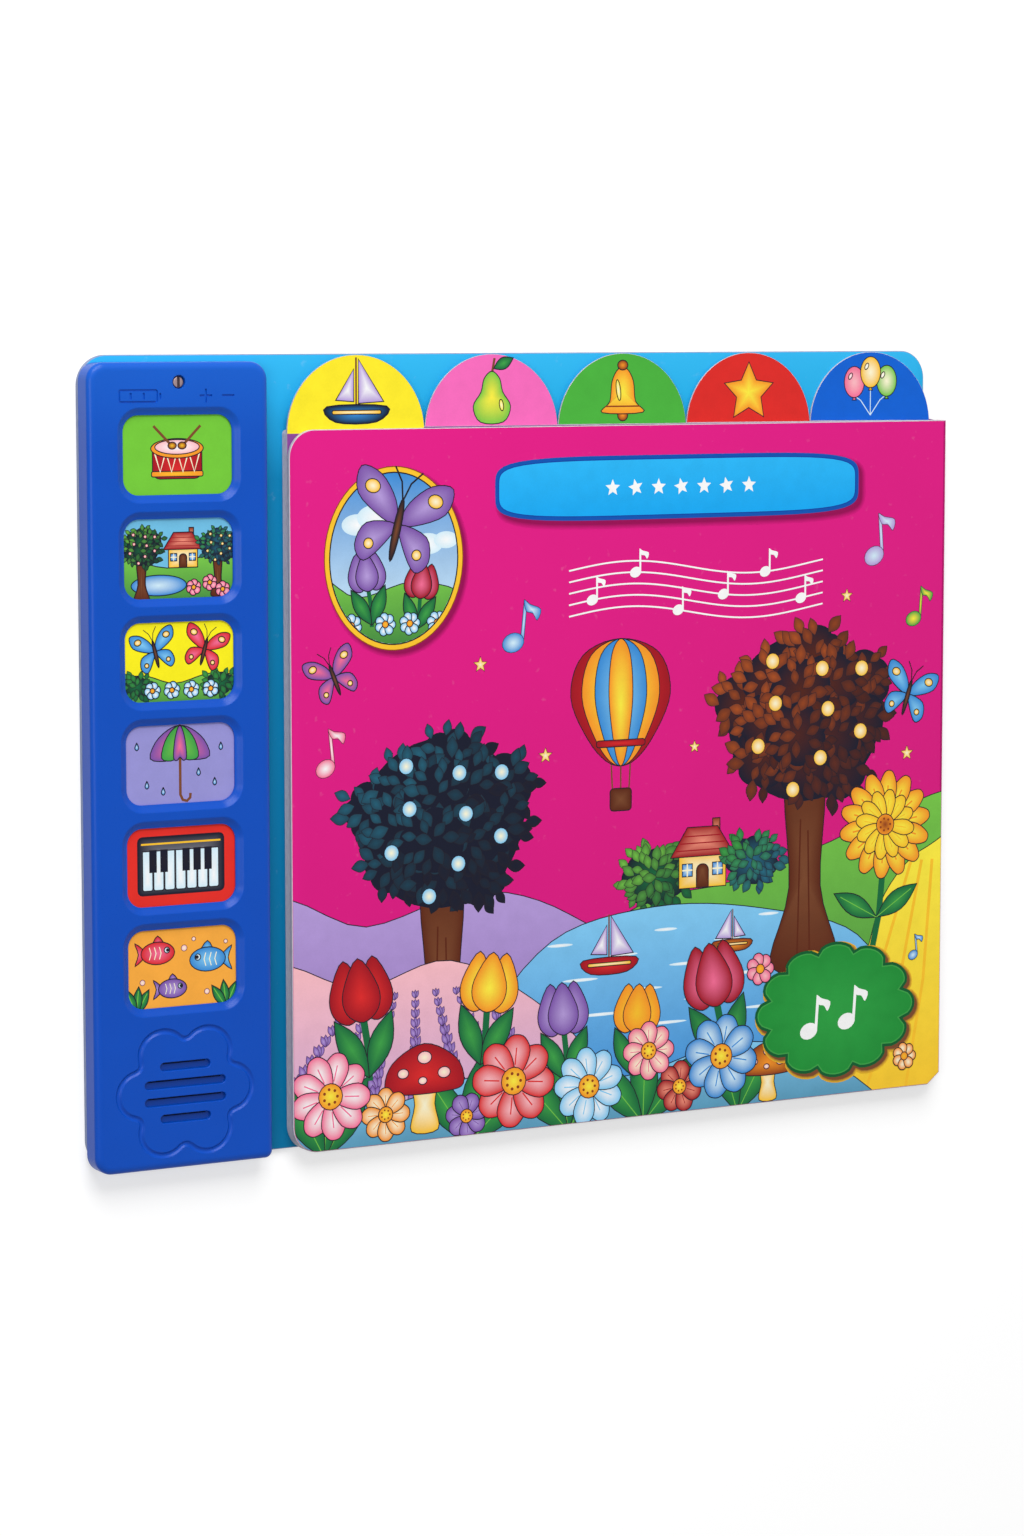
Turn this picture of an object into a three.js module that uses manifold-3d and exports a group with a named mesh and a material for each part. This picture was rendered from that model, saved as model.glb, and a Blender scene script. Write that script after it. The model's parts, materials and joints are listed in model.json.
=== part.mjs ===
// Sound book, lying closed on its back board: a board book with five tabbed leaves, its spine on the
// right, and a plastic sound module with six picture buttons down the left side of a taller back board.
// Millimetres, +X from the module to the spine, +Y up the page, +Z out of the front cover.
// The origin is the middle of the underside.

import * as THREE from 'three';
import { mergeVertices } from 'three/addons/utils/BufferGeometryUtils.js';
import Module from 'manifold-3d';

const wasm = await Module();
wasm.setup();

// Clearances
const GAP = 0.3;
const SEAT_GAP = 0.1;

// How far a cutter runs past the face that it opens
const OVERRUN = 1;

// Back board
const BOOK_H = 231;
const BOARD_T = 1.6;
const BOARD_REACH = 62.9;
const BOARD_FOOT_INSET = 1.2;
const BOARD_SPINE_INSET = 5.6;
const BOARD_CORNER_R = 8.5;

// Front cover and spine
const COVER_W = 227.6;
const COVER_T = 1.3;
const COVER_CORNER_R = 8;
const SPINE_T = 1.3;
const SPINE_CLIP_X = 4.4;
const SPINE_CLIP_Y = 3.6;

// Leaves and their tabs
const LEAF_COUNT = 5;
const LEAF_T = 0.62;
const LEAF_NICK_H = 0.14;
const LEAF_NICK_DEPTH = 0.35;
const LEAF_TOP_CORNER_R = 1.2;
const TAB_RISE = 21.2;
const TAB_GAP = 0.5;
const TAB_SPINE_INSET = 1.9;
const TAB_TOP_INSET = 0.3;
const TAB_SWING = 0.06;
const TAB_STEPS = 14;

// Sound module casing
const MODULE_W = 55.4;
const MODULE_T = 7.0;
const MODULE_FOOT = 0.4;
const MODULE_CROWN = 2.0;
const MODULE_CORNER_R = 5.2;
const MODULE_PAGE_CORNER_R = 2.2;
const MODULE_EDGE_R = 1.6;
const MODULE_EDGE_STEPS = 4;
const SHELL_WALL = 1.5;
const SHELL_FACE_T = 1.7;
const PLATE_T = 1.2;

// Button windows
const BUTTON_COUNT = 6;
const WINDOW_SIDE = 10.9;
const WINDOW_R = 4.6;
const WINDOW_WEB = 2.05;
const RIM_W = 2.3;
const RIM_DEPTH = 1.3;
const HEAD_H = 12.4;
const GRILLE_FIELD_H = 44.2;

// Buttons, labels and their rubber domes
const KEY_T = 1.0;
const KEY_OVERLAP = 0.7;
const KEY_STEM_R = 3;
const KEY_STEM_H = 0.2;
const LABEL_T = 0.2;
const LABEL_INSET = 0.2;
const DOME_R = 4.2;
const DOME_TOP_R = 2.6;
const DOME_BRIM_R = 5.2;
const DOME_BRIM_H = 0.3;
const DOME_WALL = 0.4;

// Circuit board and sound chip
const PCB_W = 24;
const PCB_T = 0.8;
const PCB_STANDOFF = 0.5;
const PCB_RUN_ON = 5;
const RIB_W = 2;
const RIB_EDGE = 2;
const CHIP_R = 2.4;
const CHIP_H = 1.1;
const CHIP_STEPS = 4;
const CHIP_SIDE = 7;

// Loudspeaker and its grille
const SPEAKER_R = 14;
const SPEAKER_RIM_W = 2;
const SPEAKER_RIM_H = 0.7;
const SPEAKER_DISH_T = 0.5;
const BASKET_R = 9.5;
const MAGNET_R = 6.5;
const MAGNET_H = 1.1;
const CONE_T = 0.25;
const CONE_DROP = 1.0;
const CONE_CAP_R = 3.2;
const ROSETTE_LOBES = 6;
const ROSETTE_RING_R = 13.6;
const ROSETTE_LOBE_R = 7.3;
const ROSETTE_FLATNESS = 0.94;
const ROSETTE_GROOVE_W = 1.7;
const ROSETTE_GROOVE_DEPTH = 0.5;
const ROSETTE_LOBE_STEPS = 12;
const SLOT_H = 2.4;
const SLOT_PITCH = 5.0;
const SLOT_LONG = 25.2;
const SLOT_SHORT = 15.6;
const SLOT_DEPTH = 1.0;
const SLIT_H = 0.5;
const SLIT_DROP = 0.15;

// Battery tray, its cells and its screw
const CELL_R = 3.95;
const CELL_H = 3.5;
const CELL_BEVEL = 0.7;
const CELL_WALL = 0.7;
const TRAY_LIP_T = 1.2;
const TRAY_SCREW_WALL = 1.4;
const CONTACT_T = 0.2;
const CONTACT_W = 3;
const CONTACT_TAIL = 5;
const SCREW_R = 0.9;
const SCREW_HEAD_R = 1.6;
const SCREW_HEAD_H = 0.8;
const SCREW_HEAD_SINK = 0.5;
const SCREW_SLOT_W = 0.7;
const SCREW_SLOT_DEPTH = 0.35;
const SCREW_DROP = 5.6;

// Casing screws and the tape that holds the module to the board
const BOSS_R = 2.3;
const BOSS_SIDE = 5.2;
const BOSS_HEAD_END = 19.5;
const BOSS_FOOT_END = 5.6;
const CASE_SCREW_R = 0.8;
const CASE_HEAD_R = 1.6;
const CASE_HEAD_H = 0.6;
const CASE_SCREW_LENGTH = 3.6;
const TAPE_T = 0.2;
const TAPE_W = 10;
const TAPE_END = 12;
const TAPE_SIDE = 7;

// Speaker leads
const LEAD_R = 0.45;
const LEAD_PITCH = 4;
const LEAD_TAIL = 3;
const LEAD_SIDES = 8;

// Worked out from the sizes above
const boardLeft = -BOARD_REACH;
const boardRight = COVER_W - BOARD_SPINE_INSET;
const boardTop = BOARD_T;
const pageW = COVER_W - SPINE_T;
const pageH = BOOK_H - TAB_RISE - TAB_TOP_INSET;
const clipStartX = COVER_W - SPINE_CLIP_X;
const clipPageY = SPINE_CLIP_Y * (pageW - clipStartX) / SPINE_CLIP_X;
const blockT = LEAF_COUNT * LEAF_T;
const blockTop = boardTop + blockT;
const coverBottom = blockTop + SEAT_GAP;
const tabPitch = (pageW - TAB_SPINE_INSET) / LEAF_COUNT;
const tabR = (tabPitch - TAB_GAP) / 2;
const tabCentreY = pageH + TAB_RISE - tabR;

const moduleLeft = boardLeft;
const moduleRight = moduleLeft + MODULE_W;
const moduleMidX = (moduleLeft + moduleRight) / 2;
const moduleBottom = MODULE_FOOT;
const moduleTop = BOOK_H - MODULE_CROWN;
const moduleH = moduleTop - moduleBottom;
const moduleMidY = (moduleTop + moduleBottom) / 2;
const shellFoot = boardTop + TAPE_T;
const faceZ = boardTop + MODULE_T;
const ceilingZ = faceZ - SHELL_FACE_T;
const plateTop = shellFoot + PLATE_T;
const cavityW = MODULE_W - 2 * SHELL_WALL;
const cavityH = moduleH - 2 * SHELL_WALL;
const cavityR = MODULE_CORNER_R - SHELL_WALL;

const windowW = MODULE_W - 2 * WINDOW_SIDE;
const windowFieldH = moduleH - HEAD_H - GRILLE_FIELD_H;
const windowH = (windowFieldH - (BUTTON_COUNT - 1) * WINDOW_WEB) / BUTTON_COUNT - 2 * RIM_W;
const windowPitch = windowH + 2 * RIM_W + WINDOW_WEB;
const firstWindowY = moduleTop - HEAD_H - RIM_W - windowH / 2;
const lastWindowY = firstWindowY - (BUTTON_COUNT - 1) * windowPitch;

const keyW = windowW + 2 * KEY_OVERLAP;
const keyH = windowH + 2 * KEY_OVERLAP;
const keyR = WINDOW_R + KEY_OVERLAP;
const labelTop = ceilingZ - SEAT_GAP;
const keyTop = labelTop - LABEL_T;
const keyBottom = keyTop - KEY_T;
const stemBottom = keyBottom - KEY_STEM_H;
const pcbBottom = plateTop + PCB_STANDOFF;
const pcbTop = pcbBottom + PCB_T;
const domeTop = stemBottom - SEAT_GAP;
const pcbYTop = firstWindowY + windowH / 2;
const pcbYBottom = lastWindowY - windowH / 2 - PCB_RUN_ON;

const grilleMidY = moduleBottom + GRILLE_FIELD_H / 2;
const speakerTop = ceilingZ - SEAT_GAP;
const speakerSeatR = SPEAKER_R - SPEAKER_RIM_W;
const magnetTop = plateTop + SEAT_GAP + MAGNET_H;

const screwY = moduleTop - SCREW_DROP;
const trayTop = moduleTop;
const trayInnerTop = moduleTop - SHELL_WALL;
const cellPitch = 2 * CELL_R + 2 * GAP + CELL_WALL;
const cellOffset = TRAY_SCREW_WALL + SCREW_R + GAP + CELL_R + GAP;
const cellXs = [moduleMidX - cellOffset - cellPitch, moduleMidX - cellOffset, moduleMidX + cellOffset];
const cellY = trayInnerTop - CELL_WALL - GAP - CELL_R;
const cellBottom = plateTop + CONTACT_T + SEAT_GAP;
const cellTop = cellBottom + CELL_H;
const trayBottomY = cellY - CELL_R - GAP - CELL_WALL;
const trayLeft = cellXs[0] - CELL_R - GAP - CELL_WALL;
const trayRight = cellXs[2] + CELL_R + GAP + CELL_WALL;
const trayScrewTop = faceZ - SCREW_HEAD_SINK;
const trayScrewTip = cellBottom + SCREW_R;

const slotLengths = [SLOT_SHORT, SLOT_LONG, SLOT_LONG, SLOT_SHORT];
const firstSlotY = grilleMidY + (slotLengths.length - 1) / 2 * SLOT_PITCH;
const slitRise = SLOT_H / 2 - SLIT_DROP - SLIT_H / 2;

const bossXs = [moduleLeft + BOSS_SIDE, moduleRight - BOSS_SIDE];
const bossYs = [moduleTop - BOSS_HEAD_END, moduleBottom + BOSS_FOOT_END];
const caseScrewTip = shellFoot + CASE_SCREW_LENGTH;

// Finishes
const finish = (colour, roughness, metalness = 0) => (
  new THREE.MeshStandardMaterial({ color: colour, roughness, metalness })
);
const FINISHES = {
  boardBlue: finish(0x2e9fd6, 0.45),
  coverPink: finish(0xe11b85, 0.35),
  spinePink: finish(0xb8126a, 0.4),
  pages: finish(0xe9e6e2, 0.6),
  casing: finish(0x164bb8, 0.4),
  key: finish(0xf2f2ee, 0.5),
  rubber: finish(0xc9ccc6, 0.8),
  circuit: finish(0x2f6b35, 0.5),
  chip: finish(0x141414, 0.4),
  steel: finish(0xb9bcc0, 0.3, 1),
  brass: finish(0xb88a5a, 0.35, 1),
  cone: finish(0x2a2a2c, 0.85),
  magnet: finish(0x55585c, 0.45, 1),
  tape: finish(0xf4f1e8, 0.7),
  leadRed: finish(0xb3201c, 0.5),
  leadBlack: finish(0x1b1b1d, 0.5),
};
const LABEL_COLOURS = [0x78c83c, 0x6cb7dc, 0xfaf020, 0x9484c8, 0xe6352a, 0xf6a640];

// Turns a closed geometry into a solid that can be joined and cut.
function toSolid(geometry) {
  const bare = geometry.clone();
  bare.deleteAttribute('normal');
  bare.deleteAttribute('uv');
  const merged = mergeVertices(bare, 1e-5);
  return new wasm.Manifold(new wasm.Mesh({
    numProp: 3,
    vertProperties: new Float32Array(merged.attributes.position.array),
    triVerts: new Uint32Array(merged.index.array),
  }));
}

function toGeometry(solid) {
  const made = solid.getMesh();
  const geometry = new THREE.BufferGeometry();
  geometry.setAttribute('position', new THREE.BufferAttribute(new Float32Array(made.vertProperties), 3));
  geometry.setIndex(new THREE.BufferAttribute(new Uint32Array(made.triVerts), 1));
  geometry.computeVertexNormals();
  return geometry;
}

// A flat outline made thick from z0 to z1.
function slab(shape, z0, z1, curveSegments = 5) {
  const geometry = new THREE.ExtrudeGeometry(shape, {
    depth: z1 - z0,
    bevelEnabled: false,
    curveSegments,
  });
  geometry.translate(0, 0, z0);
  return geometry;
}

// A rectangle about a centre, its four corners rounded.
function roundedRect(cx, cy, w, h, r) {
  return cornerRect(cx - w / 2, cy - h / 2, cx + w / 2, cy + h / 2, { bl: r, br: r, tr: r, tl: r });
}

// A rectangle from low to high corner, with its own radius at each corner.
function cornerRect(x0, y0, x1, y1, { bl = 0, br = 0, tr = 0, tl = 0 }) {
  const shape = new THREE.Shape();
  shape.moveTo(x0 + bl, y0);
  shape.lineTo(x1 - br, y0);
  if (br) shape.absarc(x1 - br, y0 + br, br, -Math.PI / 2, 0, false);
  shape.lineTo(x1, y1 - tr);
  if (tr) shape.absarc(x1 - tr, y1 - tr, tr, 0, Math.PI / 2, false);
  shape.lineTo(x0 + tl, y1);
  if (tl) shape.absarc(x0 + tl, y1 - tl, tl, Math.PI / 2, Math.PI, false);
  shape.lineTo(x0, y0 + bl);
  if (bl) shape.absarc(x0 + bl, y0 + bl, bl, Math.PI, 1.5 * Math.PI, false);
  return shape;
}

// One level of a rounded rectangle, as points in order round it. The radii start at the upper right
// corner and go round to the lower right one.
function ring(cx, cy, w, h, radii, z, steps = 5) {
  const points = [];
  radii.forEach((r, corner) => {
    const sx = corner === 0 || corner === 3 ? 1 : -1;
    const sy = corner < 2 ? 1 : -1;
    for (let i = 0; i <= steps; i += 1) {
      const angle = (corner + i / steps) * Math.PI / 2;
      const x = cx + sx * (w / 2 - r) + r * Math.cos(angle);
      const y = cy + sy * (h / 2 - r) + r * Math.sin(angle);
      points.push([x, y, z]);
    }
  });
  return points;
}

// A closed skin through rings of equal count, from the lowest to the highest.
function loft(rings) {
  const n = rings[0].length;
  const positions = rings.flat(2);
  const triangles = [];
  for (let k = 0; k + 1 < rings.length; k += 1) {
    for (let i = 0; i < n; i += 1) {
      const j = (i + 1) % n;
      const low = k * n;
      const high = low + n;
      triangles.push(low + i, low + j, high + j, low + i, high + j, high + i);
    }
  }
  const last = (rings.length - 1) * n;
  for (let i = 1; i + 1 < n; i += 1) {
    triangles.push(0, i + 1, i);
    triangles.push(last, last + i, last + i + 1);
  }
  const geometry = new THREE.BufferGeometry();
  geometry.setAttribute('position', new THREE.Float32BufferAttribute(positions, 3));
  geometry.setIndex(triangles);
  geometry.computeVertexNormals();
  return geometry;
}

// A disc or tube of revolution about a line along Z through (x, y).
function turned(profile, x, y, segments = 20) {
  const geometry = new THREE.LatheGeometry(profile.map(([r, z]) => new THREE.Vector2(r, z)), segments);
  geometry.rotateX(Math.PI / 2);
  geometry.translate(x, y, 0);
  return geometry;
}

function disc(r, x, y, z0, z1, segments = 16) {
  return turned([[0, z0], [r, z0], [r, z1], [0, z1]], x, y, segments);
}

function bar(x0, y0, x1, y1, z0, z1) {
  const geometry = new THREE.BoxGeometry(x1 - x0, y1 - y0, z1 - z0);
  geometry.translate((x0 + x1) / 2, (y0 + y1) / 2, (z0 + z1) / 2);
  return geometry;
}

// A slot with round ends along X.
function slotShape(cx, cy, length, height) {
  const shape = new THREE.Shape();
  const run = (length - height) / 2;
  shape.absarc(cx + run, cy, height / 2, -Math.PI / 2, Math.PI / 2, false);
  shape.absarc(cx - run, cy, height / 2, Math.PI / 2, 1.5 * Math.PI, false);
  return shape;
}

// The middle line of the rosette round the grille: a ring of overlapping circles, a little flattened,
// whose valleys are softened by averaging each point's reach with its neighbours'.
function rosetteLine() {
  const count = ROSETTE_LOBES * ROSETTE_LOBE_STEPS;
  const half = Math.PI / ROSETTE_LOBES;
  const reaches = [];
  for (let i = 0; i < count; i += 1) {
    const off = half * (2 * (i % ROSETTE_LOBE_STEPS) / ROSETTE_LOBE_STEPS - 1);
    const across = ROSETTE_RING_R * Math.sin(off);
    reaches.push(ROSETTE_RING_R * Math.cos(off) + Math.sqrt(Math.max(ROSETTE_LOBE_R ** 2 - across ** 2, 0)));
  }
  return reaches.map((reach, i) => {
    const soft = (reaches[(i + count - 1) % count] + reach + reaches[(i + 1) % count]) / 3;
    const angle = 2 * half * i / ROSETTE_LOBE_STEPS - half;
    return new THREE.Vector2(
      moduleMidX + soft * Math.cos(angle),
      grilleMidY + ROSETTE_FLATNESS * soft * Math.sin(angle),
    );
  });
}

// The rosette's line moved outwards, or inwards where the amount is negative.
function rosetteShape(amount) {
  const line = rosetteLine();
  return new THREE.Shape(line.map((point, i) => {
    const before = line[(i + line.length - 1) % line.length];
    const after = line[(i + 1) % line.length];
    const along = after.clone().sub(before).normalize();
    return new THREE.Vector2(point.x + amount * along.y, point.y - amount * along.x);
  }));
}

const book = new THREE.Group();
book.name = 'sound_book';
book.position.set(-(boardLeft + COVER_W) / 2, -BOOK_H / 2, 0);

function addPart(name, geometry, material) {
  const mesh = new THREE.Mesh(geometry, material);
  mesh.name = name;
  book.add(mesh);
}

// Back board: the tall card that carries the book and the module.
function makeBackBoard() {
  const r = BOARD_CORNER_R;
  const outline = cornerRect(boardLeft, BOARD_FOOT_INSET, boardRight, BOOK_H, { bl: r, br: r, tr: r, tl: r });
  return slab(outline, 0, boardTop);
}

// One leaf: a page with its own tab standing up from the top edge.
function leafShape(index, inset) {
  const tabX = tabR + index * tabPitch;
  const top = pageH - inset;
  const start = Math.asin((top - tabCentreY) / tabR) + TAB_SWING;
  const shape = new THREE.Shape();
  const left = inset;
  const bottomR = COVER_CORNER_R;
  shape.moveTo(left + bottomR, inset);
  shape.lineTo(clipStartX - inset, inset);
  shape.lineTo(pageW - inset, clipPageY);
  shape.lineTo(pageW - inset, top);
  if (inset === 0) {
    shape.lineTo(tabX + tabR * Math.cos(start), top);
    shape.absarc(tabX, tabCentreY, tabR, start, Math.PI - start, false);
    shape.lineTo(tabX - tabR * Math.cos(start), top);
  }
  if (inset > 0 || index > 0) {
    shape.lineTo(left + LEAF_TOP_CORNER_R, top);
    shape.absarc(left + LEAF_TOP_CORNER_R, top - LEAF_TOP_CORNER_R, LEAF_TOP_CORNER_R,
      Math.PI / 2, Math.PI, false);
  } else {
    shape.lineTo(left, top - LEAF_TOP_CORNER_R);
  }
  shape.lineTo(left, inset + bottomR);
  shape.absarc(left + bottomR, inset + bottomR, bottomR, Math.PI, 1.5 * Math.PI, false);
  return shape;
}

// Page block: five leaves bound as one, with a fine nick between their edges.
function makePageBlock() {
  let block = null;
  for (let i = 0; i < LEAF_COUNT; i += 1) {
    const top = blockTop - i * LEAF_T;
    const bottom = top - LEAF_T;
    const isLast = i === LEAF_COUNT - 1;
    const leafBottom = isLast ? bottom : bottom + LEAF_NICK_H;
    const leaf = toSolid(slab(leafShape(i, 0), leafBottom, top, TAB_STEPS));
    block = block ? block.add(leaf) : leaf;
    if (!isLast) {
      const core = slab(leafShape(i, LEAF_NICK_DEPTH), bottom, bottom + LEAF_NICK_H);
      block = block.add(toSolid(core));
    }
  }
  return toGeometry(block);
}

// Front cover: square at the spine except for its clipped foot, rounded at the free edge.
function makeFrontCover() {
  const shape = new THREE.Shape();
  const r = COVER_CORNER_R;
  shape.moveTo(r, 0);
  shape.lineTo(clipStartX, 0);
  shape.lineTo(COVER_W, SPINE_CLIP_Y);
  shape.lineTo(COVER_W, pageH);
  shape.lineTo(r, pageH);
  shape.absarc(r, pageH - r, r, Math.PI / 2, Math.PI, false);
  shape.lineTo(0, r);
  shape.absarc(r, r, r, Math.PI, 1.5 * Math.PI, false);
  return slab(shape, coverBottom, coverBottom + COVER_T);
}

// Spine strip: the printed card glued over the leaves' bound edge.
function makeSpineStrip() {
  const shape = new THREE.Shape();
  shape.moveTo(pageW, clipPageY);
  shape.lineTo(COVER_W, SPINE_CLIP_Y);
  shape.lineTo(COVER_W, pageH);
  shape.lineTo(pageW, pageH);
  return slab(shape, boardTop, blockTop);
}

// The cut behind one window: a straight opening with a sloping rim above it.
function windowCutter(cy) {
  const rimFoot = faceZ - RIM_DEPTH;
  const spread = RIM_W + OVERRUN * RIM_W / RIM_DEPTH;
  const radii = Array(4).fill(WINDOW_R);
  const wideRadii = radii.map((r) => r + spread);
  return loft([
    ring(moduleMidX, cy, windowW, windowH, radii, ceilingZ - OVERRUN),
    ring(moduleMidX, cy, windowW, windowH, radii, rimFoot),
    ring(moduleMidX, cy, windowW + 2 * spread, windowH + 2 * spread, wideRadii, faceZ + OVERRUN),
  ]);
}

// The casing's outer form, with its face edges rounded over. Its lower corner beside the pages is
// sharper than the other three.
function casingBlank() {
  const radii = [MODULE_CORNER_R, MODULE_CORNER_R, MODULE_CORNER_R, MODULE_PAGE_CORNER_R];
  const rings = [ring(moduleMidX, moduleMidY, MODULE_W, moduleH, radii, shellFoot)];
  for (let i = 0; i <= MODULE_EDGE_STEPS; i += 1) {
    const angle = (i / MODULE_EDGE_STEPS) * Math.PI / 2;
    const inset = MODULE_EDGE_R * (1 - Math.cos(angle));
    const z = faceZ - MODULE_EDGE_R * (1 - Math.sin(angle));
    rings.push(ring(moduleMidX, moduleMidY, MODULE_W - 2 * inset, moduleH - 2 * inset,
      radii.map((r) => r - inset), z));
  }
  return toSolid(loft(rings));
}

// Front shell: windows, rosette, sound slots, screw hole, tray opening and four screw bosses.
function makeFrontShell() {
  const cavity = slab(roundedRect(moduleMidX, moduleMidY, cavityW, cavityH, cavityR), 0, ceilingZ);
  let shell = casingBlank().subtract(toSolid(cavity));
  for (let i = 0; i < BUTTON_COUNT; i += 1) {
    shell = shell.subtract(toSolid(windowCutter(firstWindowY - i * windowPitch)));
  }
  const grooveFoot = faceZ - ROSETTE_GROOVE_DEPTH;
  const outer = toSolid(slab(rosetteShape(ROSETTE_GROOVE_W / 2), grooveFoot, faceZ + OVERRUN));
  const inner = toSolid(slab(rosetteShape(-ROSETTE_GROOVE_W / 2), 0, faceZ + 2 * OVERRUN));
  shell = shell.subtract(outer.subtract(inner));
  slotLengths.forEach((length, i) => {
    const y = firstSlotY - i * SLOT_PITCH;
    const trough = slab(slotShape(moduleMidX, y, length, SLOT_H), faceZ - SLOT_DEPTH, faceZ + OVERRUN);
    const slit = slab(slotShape(moduleMidX, y + slitRise, length - SLOT_H, SLIT_H), 0, faceZ, 3);
    shell = shell.subtract(toSolid(trough)).subtract(toSolid(slit));
  });
  const headRoom = SCREW_HEAD_SINK + SCREW_HEAD_H + SEAT_GAP;
  const headHole = disc(SCREW_HEAD_R + GAP, moduleMidX, screwY, faceZ - headRoom, faceZ + OVERRUN);
  shell = shell.subtract(toSolid(headHole));
  shell = shell.subtract(toSolid(disc(SCREW_R + GAP, moduleMidX, screwY, 0, faceZ)));
  shell = shell.subtract(toSolid(bar(trayLeft - GAP, trayInnerTop - SHELL_WALL, trayRight + GAP,
    moduleTop + OVERRUN, 0, cellTop + GAP)));
  for (const x of bossXs) {
    for (const y of bossYs) {
      shell = shell.add(toSolid(disc(BOSS_R, x, y, plateTop + SEAT_GAP, ceilingZ + SEAT_GAP)));
      shell = shell.subtract(toSolid(disc(CASE_SCREW_R + GAP, x, y, 0, caseScrewTip + GAP)));
    }
  }
  return toGeometry(shell);
}

// Back plate: closes the shell, carries the circuit board on two ribs, and takes the casing screws.
function makeBackPlate() {
  const plate = roundedRect(moduleMidX, moduleMidY, cavityW - 2 * GAP, cavityH - 2 * GAP, cavityR - GAP);
  let solid = toSolid(slab(plate, shellFoot, plateTop));
  for (const side of [-1, 1]) {
    const x = moduleMidX + side * (PCB_W / 2 - RIB_EDGE);
    const rib = bar(x - RIB_W / 2, pcbYBottom, x + RIB_W / 2, pcbYTop, plateTop - SEAT_GAP, pcbBottom);
    solid = solid.add(toSolid(rib));
  }
  for (const x of bossXs) {
    for (const y of bossYs) {
      solid = solid.subtract(toSolid(disc(CASE_HEAD_R + GAP, x, y, 0, shellFoot + CASE_HEAD_H + SEAT_GAP)));
      solid = solid.subtract(toSolid(disc(CASE_SCREW_R + GAP, x, y, 0, plateTop + OVERRUN)));
    }
  }
  return toGeometry(solid);
}

// A casing screw, driven from behind through the back plate into a boss of the shell.
function makeCaseScrew(x, y) {
  const headTop = shellFoot + CASE_HEAD_H;
  return turned([
    [0, shellFoot], [CASE_HEAD_R, shellFoot], [CASE_HEAD_R, headTop], [CASE_SCREW_R, headTop],
    [CASE_SCREW_R, caseScrewTip - CASE_SCREW_R], [0, caseScrewTip],
  ], x, y, 12);
}

// One button: a flat key behind its window with a short stem over the dome.
function makeKey(cy) {
  const plate = toSolid(slab(roundedRect(moduleMidX, cy, keyW, keyH, keyR), keyBottom, keyTop));
  const stem = toSolid(disc(KEY_STEM_R, moduleMidX, cy, stemBottom, keyBottom + SEAT_GAP, 12));
  return toGeometry(plate.add(stem));
}

function makeLabel(cy) {
  const w = keyW - 2 * LABEL_INSET;
  const h = keyH - 2 * LABEL_INSET;
  return slab(roundedRect(moduleMidX, cy, w, h, keyR - LABEL_INSET), keyTop, labelTop);
}

// A rubber dome, hollow and open below, that the key squashes onto the circuit board.
function makeDome(cy) {
  return turned([
    [DOME_R - DOME_WALL, pcbTop],
    [DOME_BRIM_R, pcbTop],
    [DOME_BRIM_R, pcbTop + DOME_BRIM_H],
    [DOME_R, pcbTop + DOME_BRIM_H],
    [DOME_TOP_R, domeTop],
    [0, domeTop],
    [0, domeTop - DOME_WALL],
    [DOME_TOP_R - DOME_WALL, domeTop - DOME_WALL],
    [DOME_R - DOME_WALL, pcbTop],
  ], moduleMidX, cy, 16);
}

function makeCircuitBoard() {
  return bar(moduleMidX - PCB_W / 2, pcbYBottom, moduleMidX + PCB_W / 2, pcbYTop, pcbBottom, pcbTop);
}

// The sound chip under its blob of resin, between the last two domes.
function makeChip() {
  const y = lastWindowY + windowPitch / 2;
  const x = moduleMidX - PCB_W / 2 + CHIP_SIDE;
  const profile = [[0, pcbTop], [CHIP_R, pcbTop]];
  for (let i = 1; i < CHIP_STEPS; i += 1) {
    const angle = (i / CHIP_STEPS) * Math.PI / 2;
    profile.push([CHIP_R * Math.cos(angle), pcbTop + CHIP_H * Math.sin(angle)]);
  }
  profile.push([0, pcbTop + CHIP_H]);
  return turned(profile, x, y, 16);
}

// Loudspeaker: a pressed frame, the paper cone inside it and the magnet on its back.
function makeSpeakerFrame() {
  const rimFoot = speakerTop - SPEAKER_RIM_H;
  return turned([
    [0, magnetTop],
    [BASKET_R, magnetTop],
    [speakerSeatR + SPEAKER_DISH_T, rimFoot],
    [SPEAKER_R, rimFoot],
    [SPEAKER_R, speakerTop],
    [speakerSeatR, speakerTop],
    [speakerSeatR, rimFoot],
    [BASKET_R - SPEAKER_DISH_T, magnetTop + SPEAKER_DISH_T],
    [0, magnetTop + SPEAKER_DISH_T],
  ], moduleMidX, grilleMidY, 24);
}

function makeSpeakerCone() {
  const edgeR = speakerSeatR - GAP;
  const top = speakerTop - SEAT_GAP;
  const foot = top - CONE_DROP;
  return turned([
    [0, foot],
    [CONE_CAP_R, foot],
    [edgeR, top - CONE_T],
    [edgeR, top],
    [CONE_CAP_R, foot + CONE_T],
    [0, foot + 2 * CONE_T],
  ], moduleMidX, grilleMidY, 24);
}

function makeMagnet() {
  return disc(MAGNET_R, moduleMidX, grilleMidY, magnetTop - MAGNET_H, magnetTop);
}

// Battery tray: a drawer in the head of the casing with three round pockets, held by one screw.
function makeBatteryTray() {
  const body = bar(trayLeft, trayBottomY, trayRight, trayTop - TRAY_LIP_T / 2, cellBottom, cellTop);
  const lip = bar(trayLeft, trayTop - TRAY_LIP_T, trayRight, trayTop, shellFoot, cellTop);
  let tray = toSolid(body).add(toSolid(lip));
  for (const x of cellXs) {
    tray = tray.subtract(toSolid(disc(CELL_R + GAP, x, cellY, 0, faceZ)));
  }
  tray = tray.subtract(toSolid(disc(SCREW_R + GAP, moduleMidX, screwY, trayScrewTip - GAP, faceZ)));
  return toGeometry(tray);
}

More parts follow.
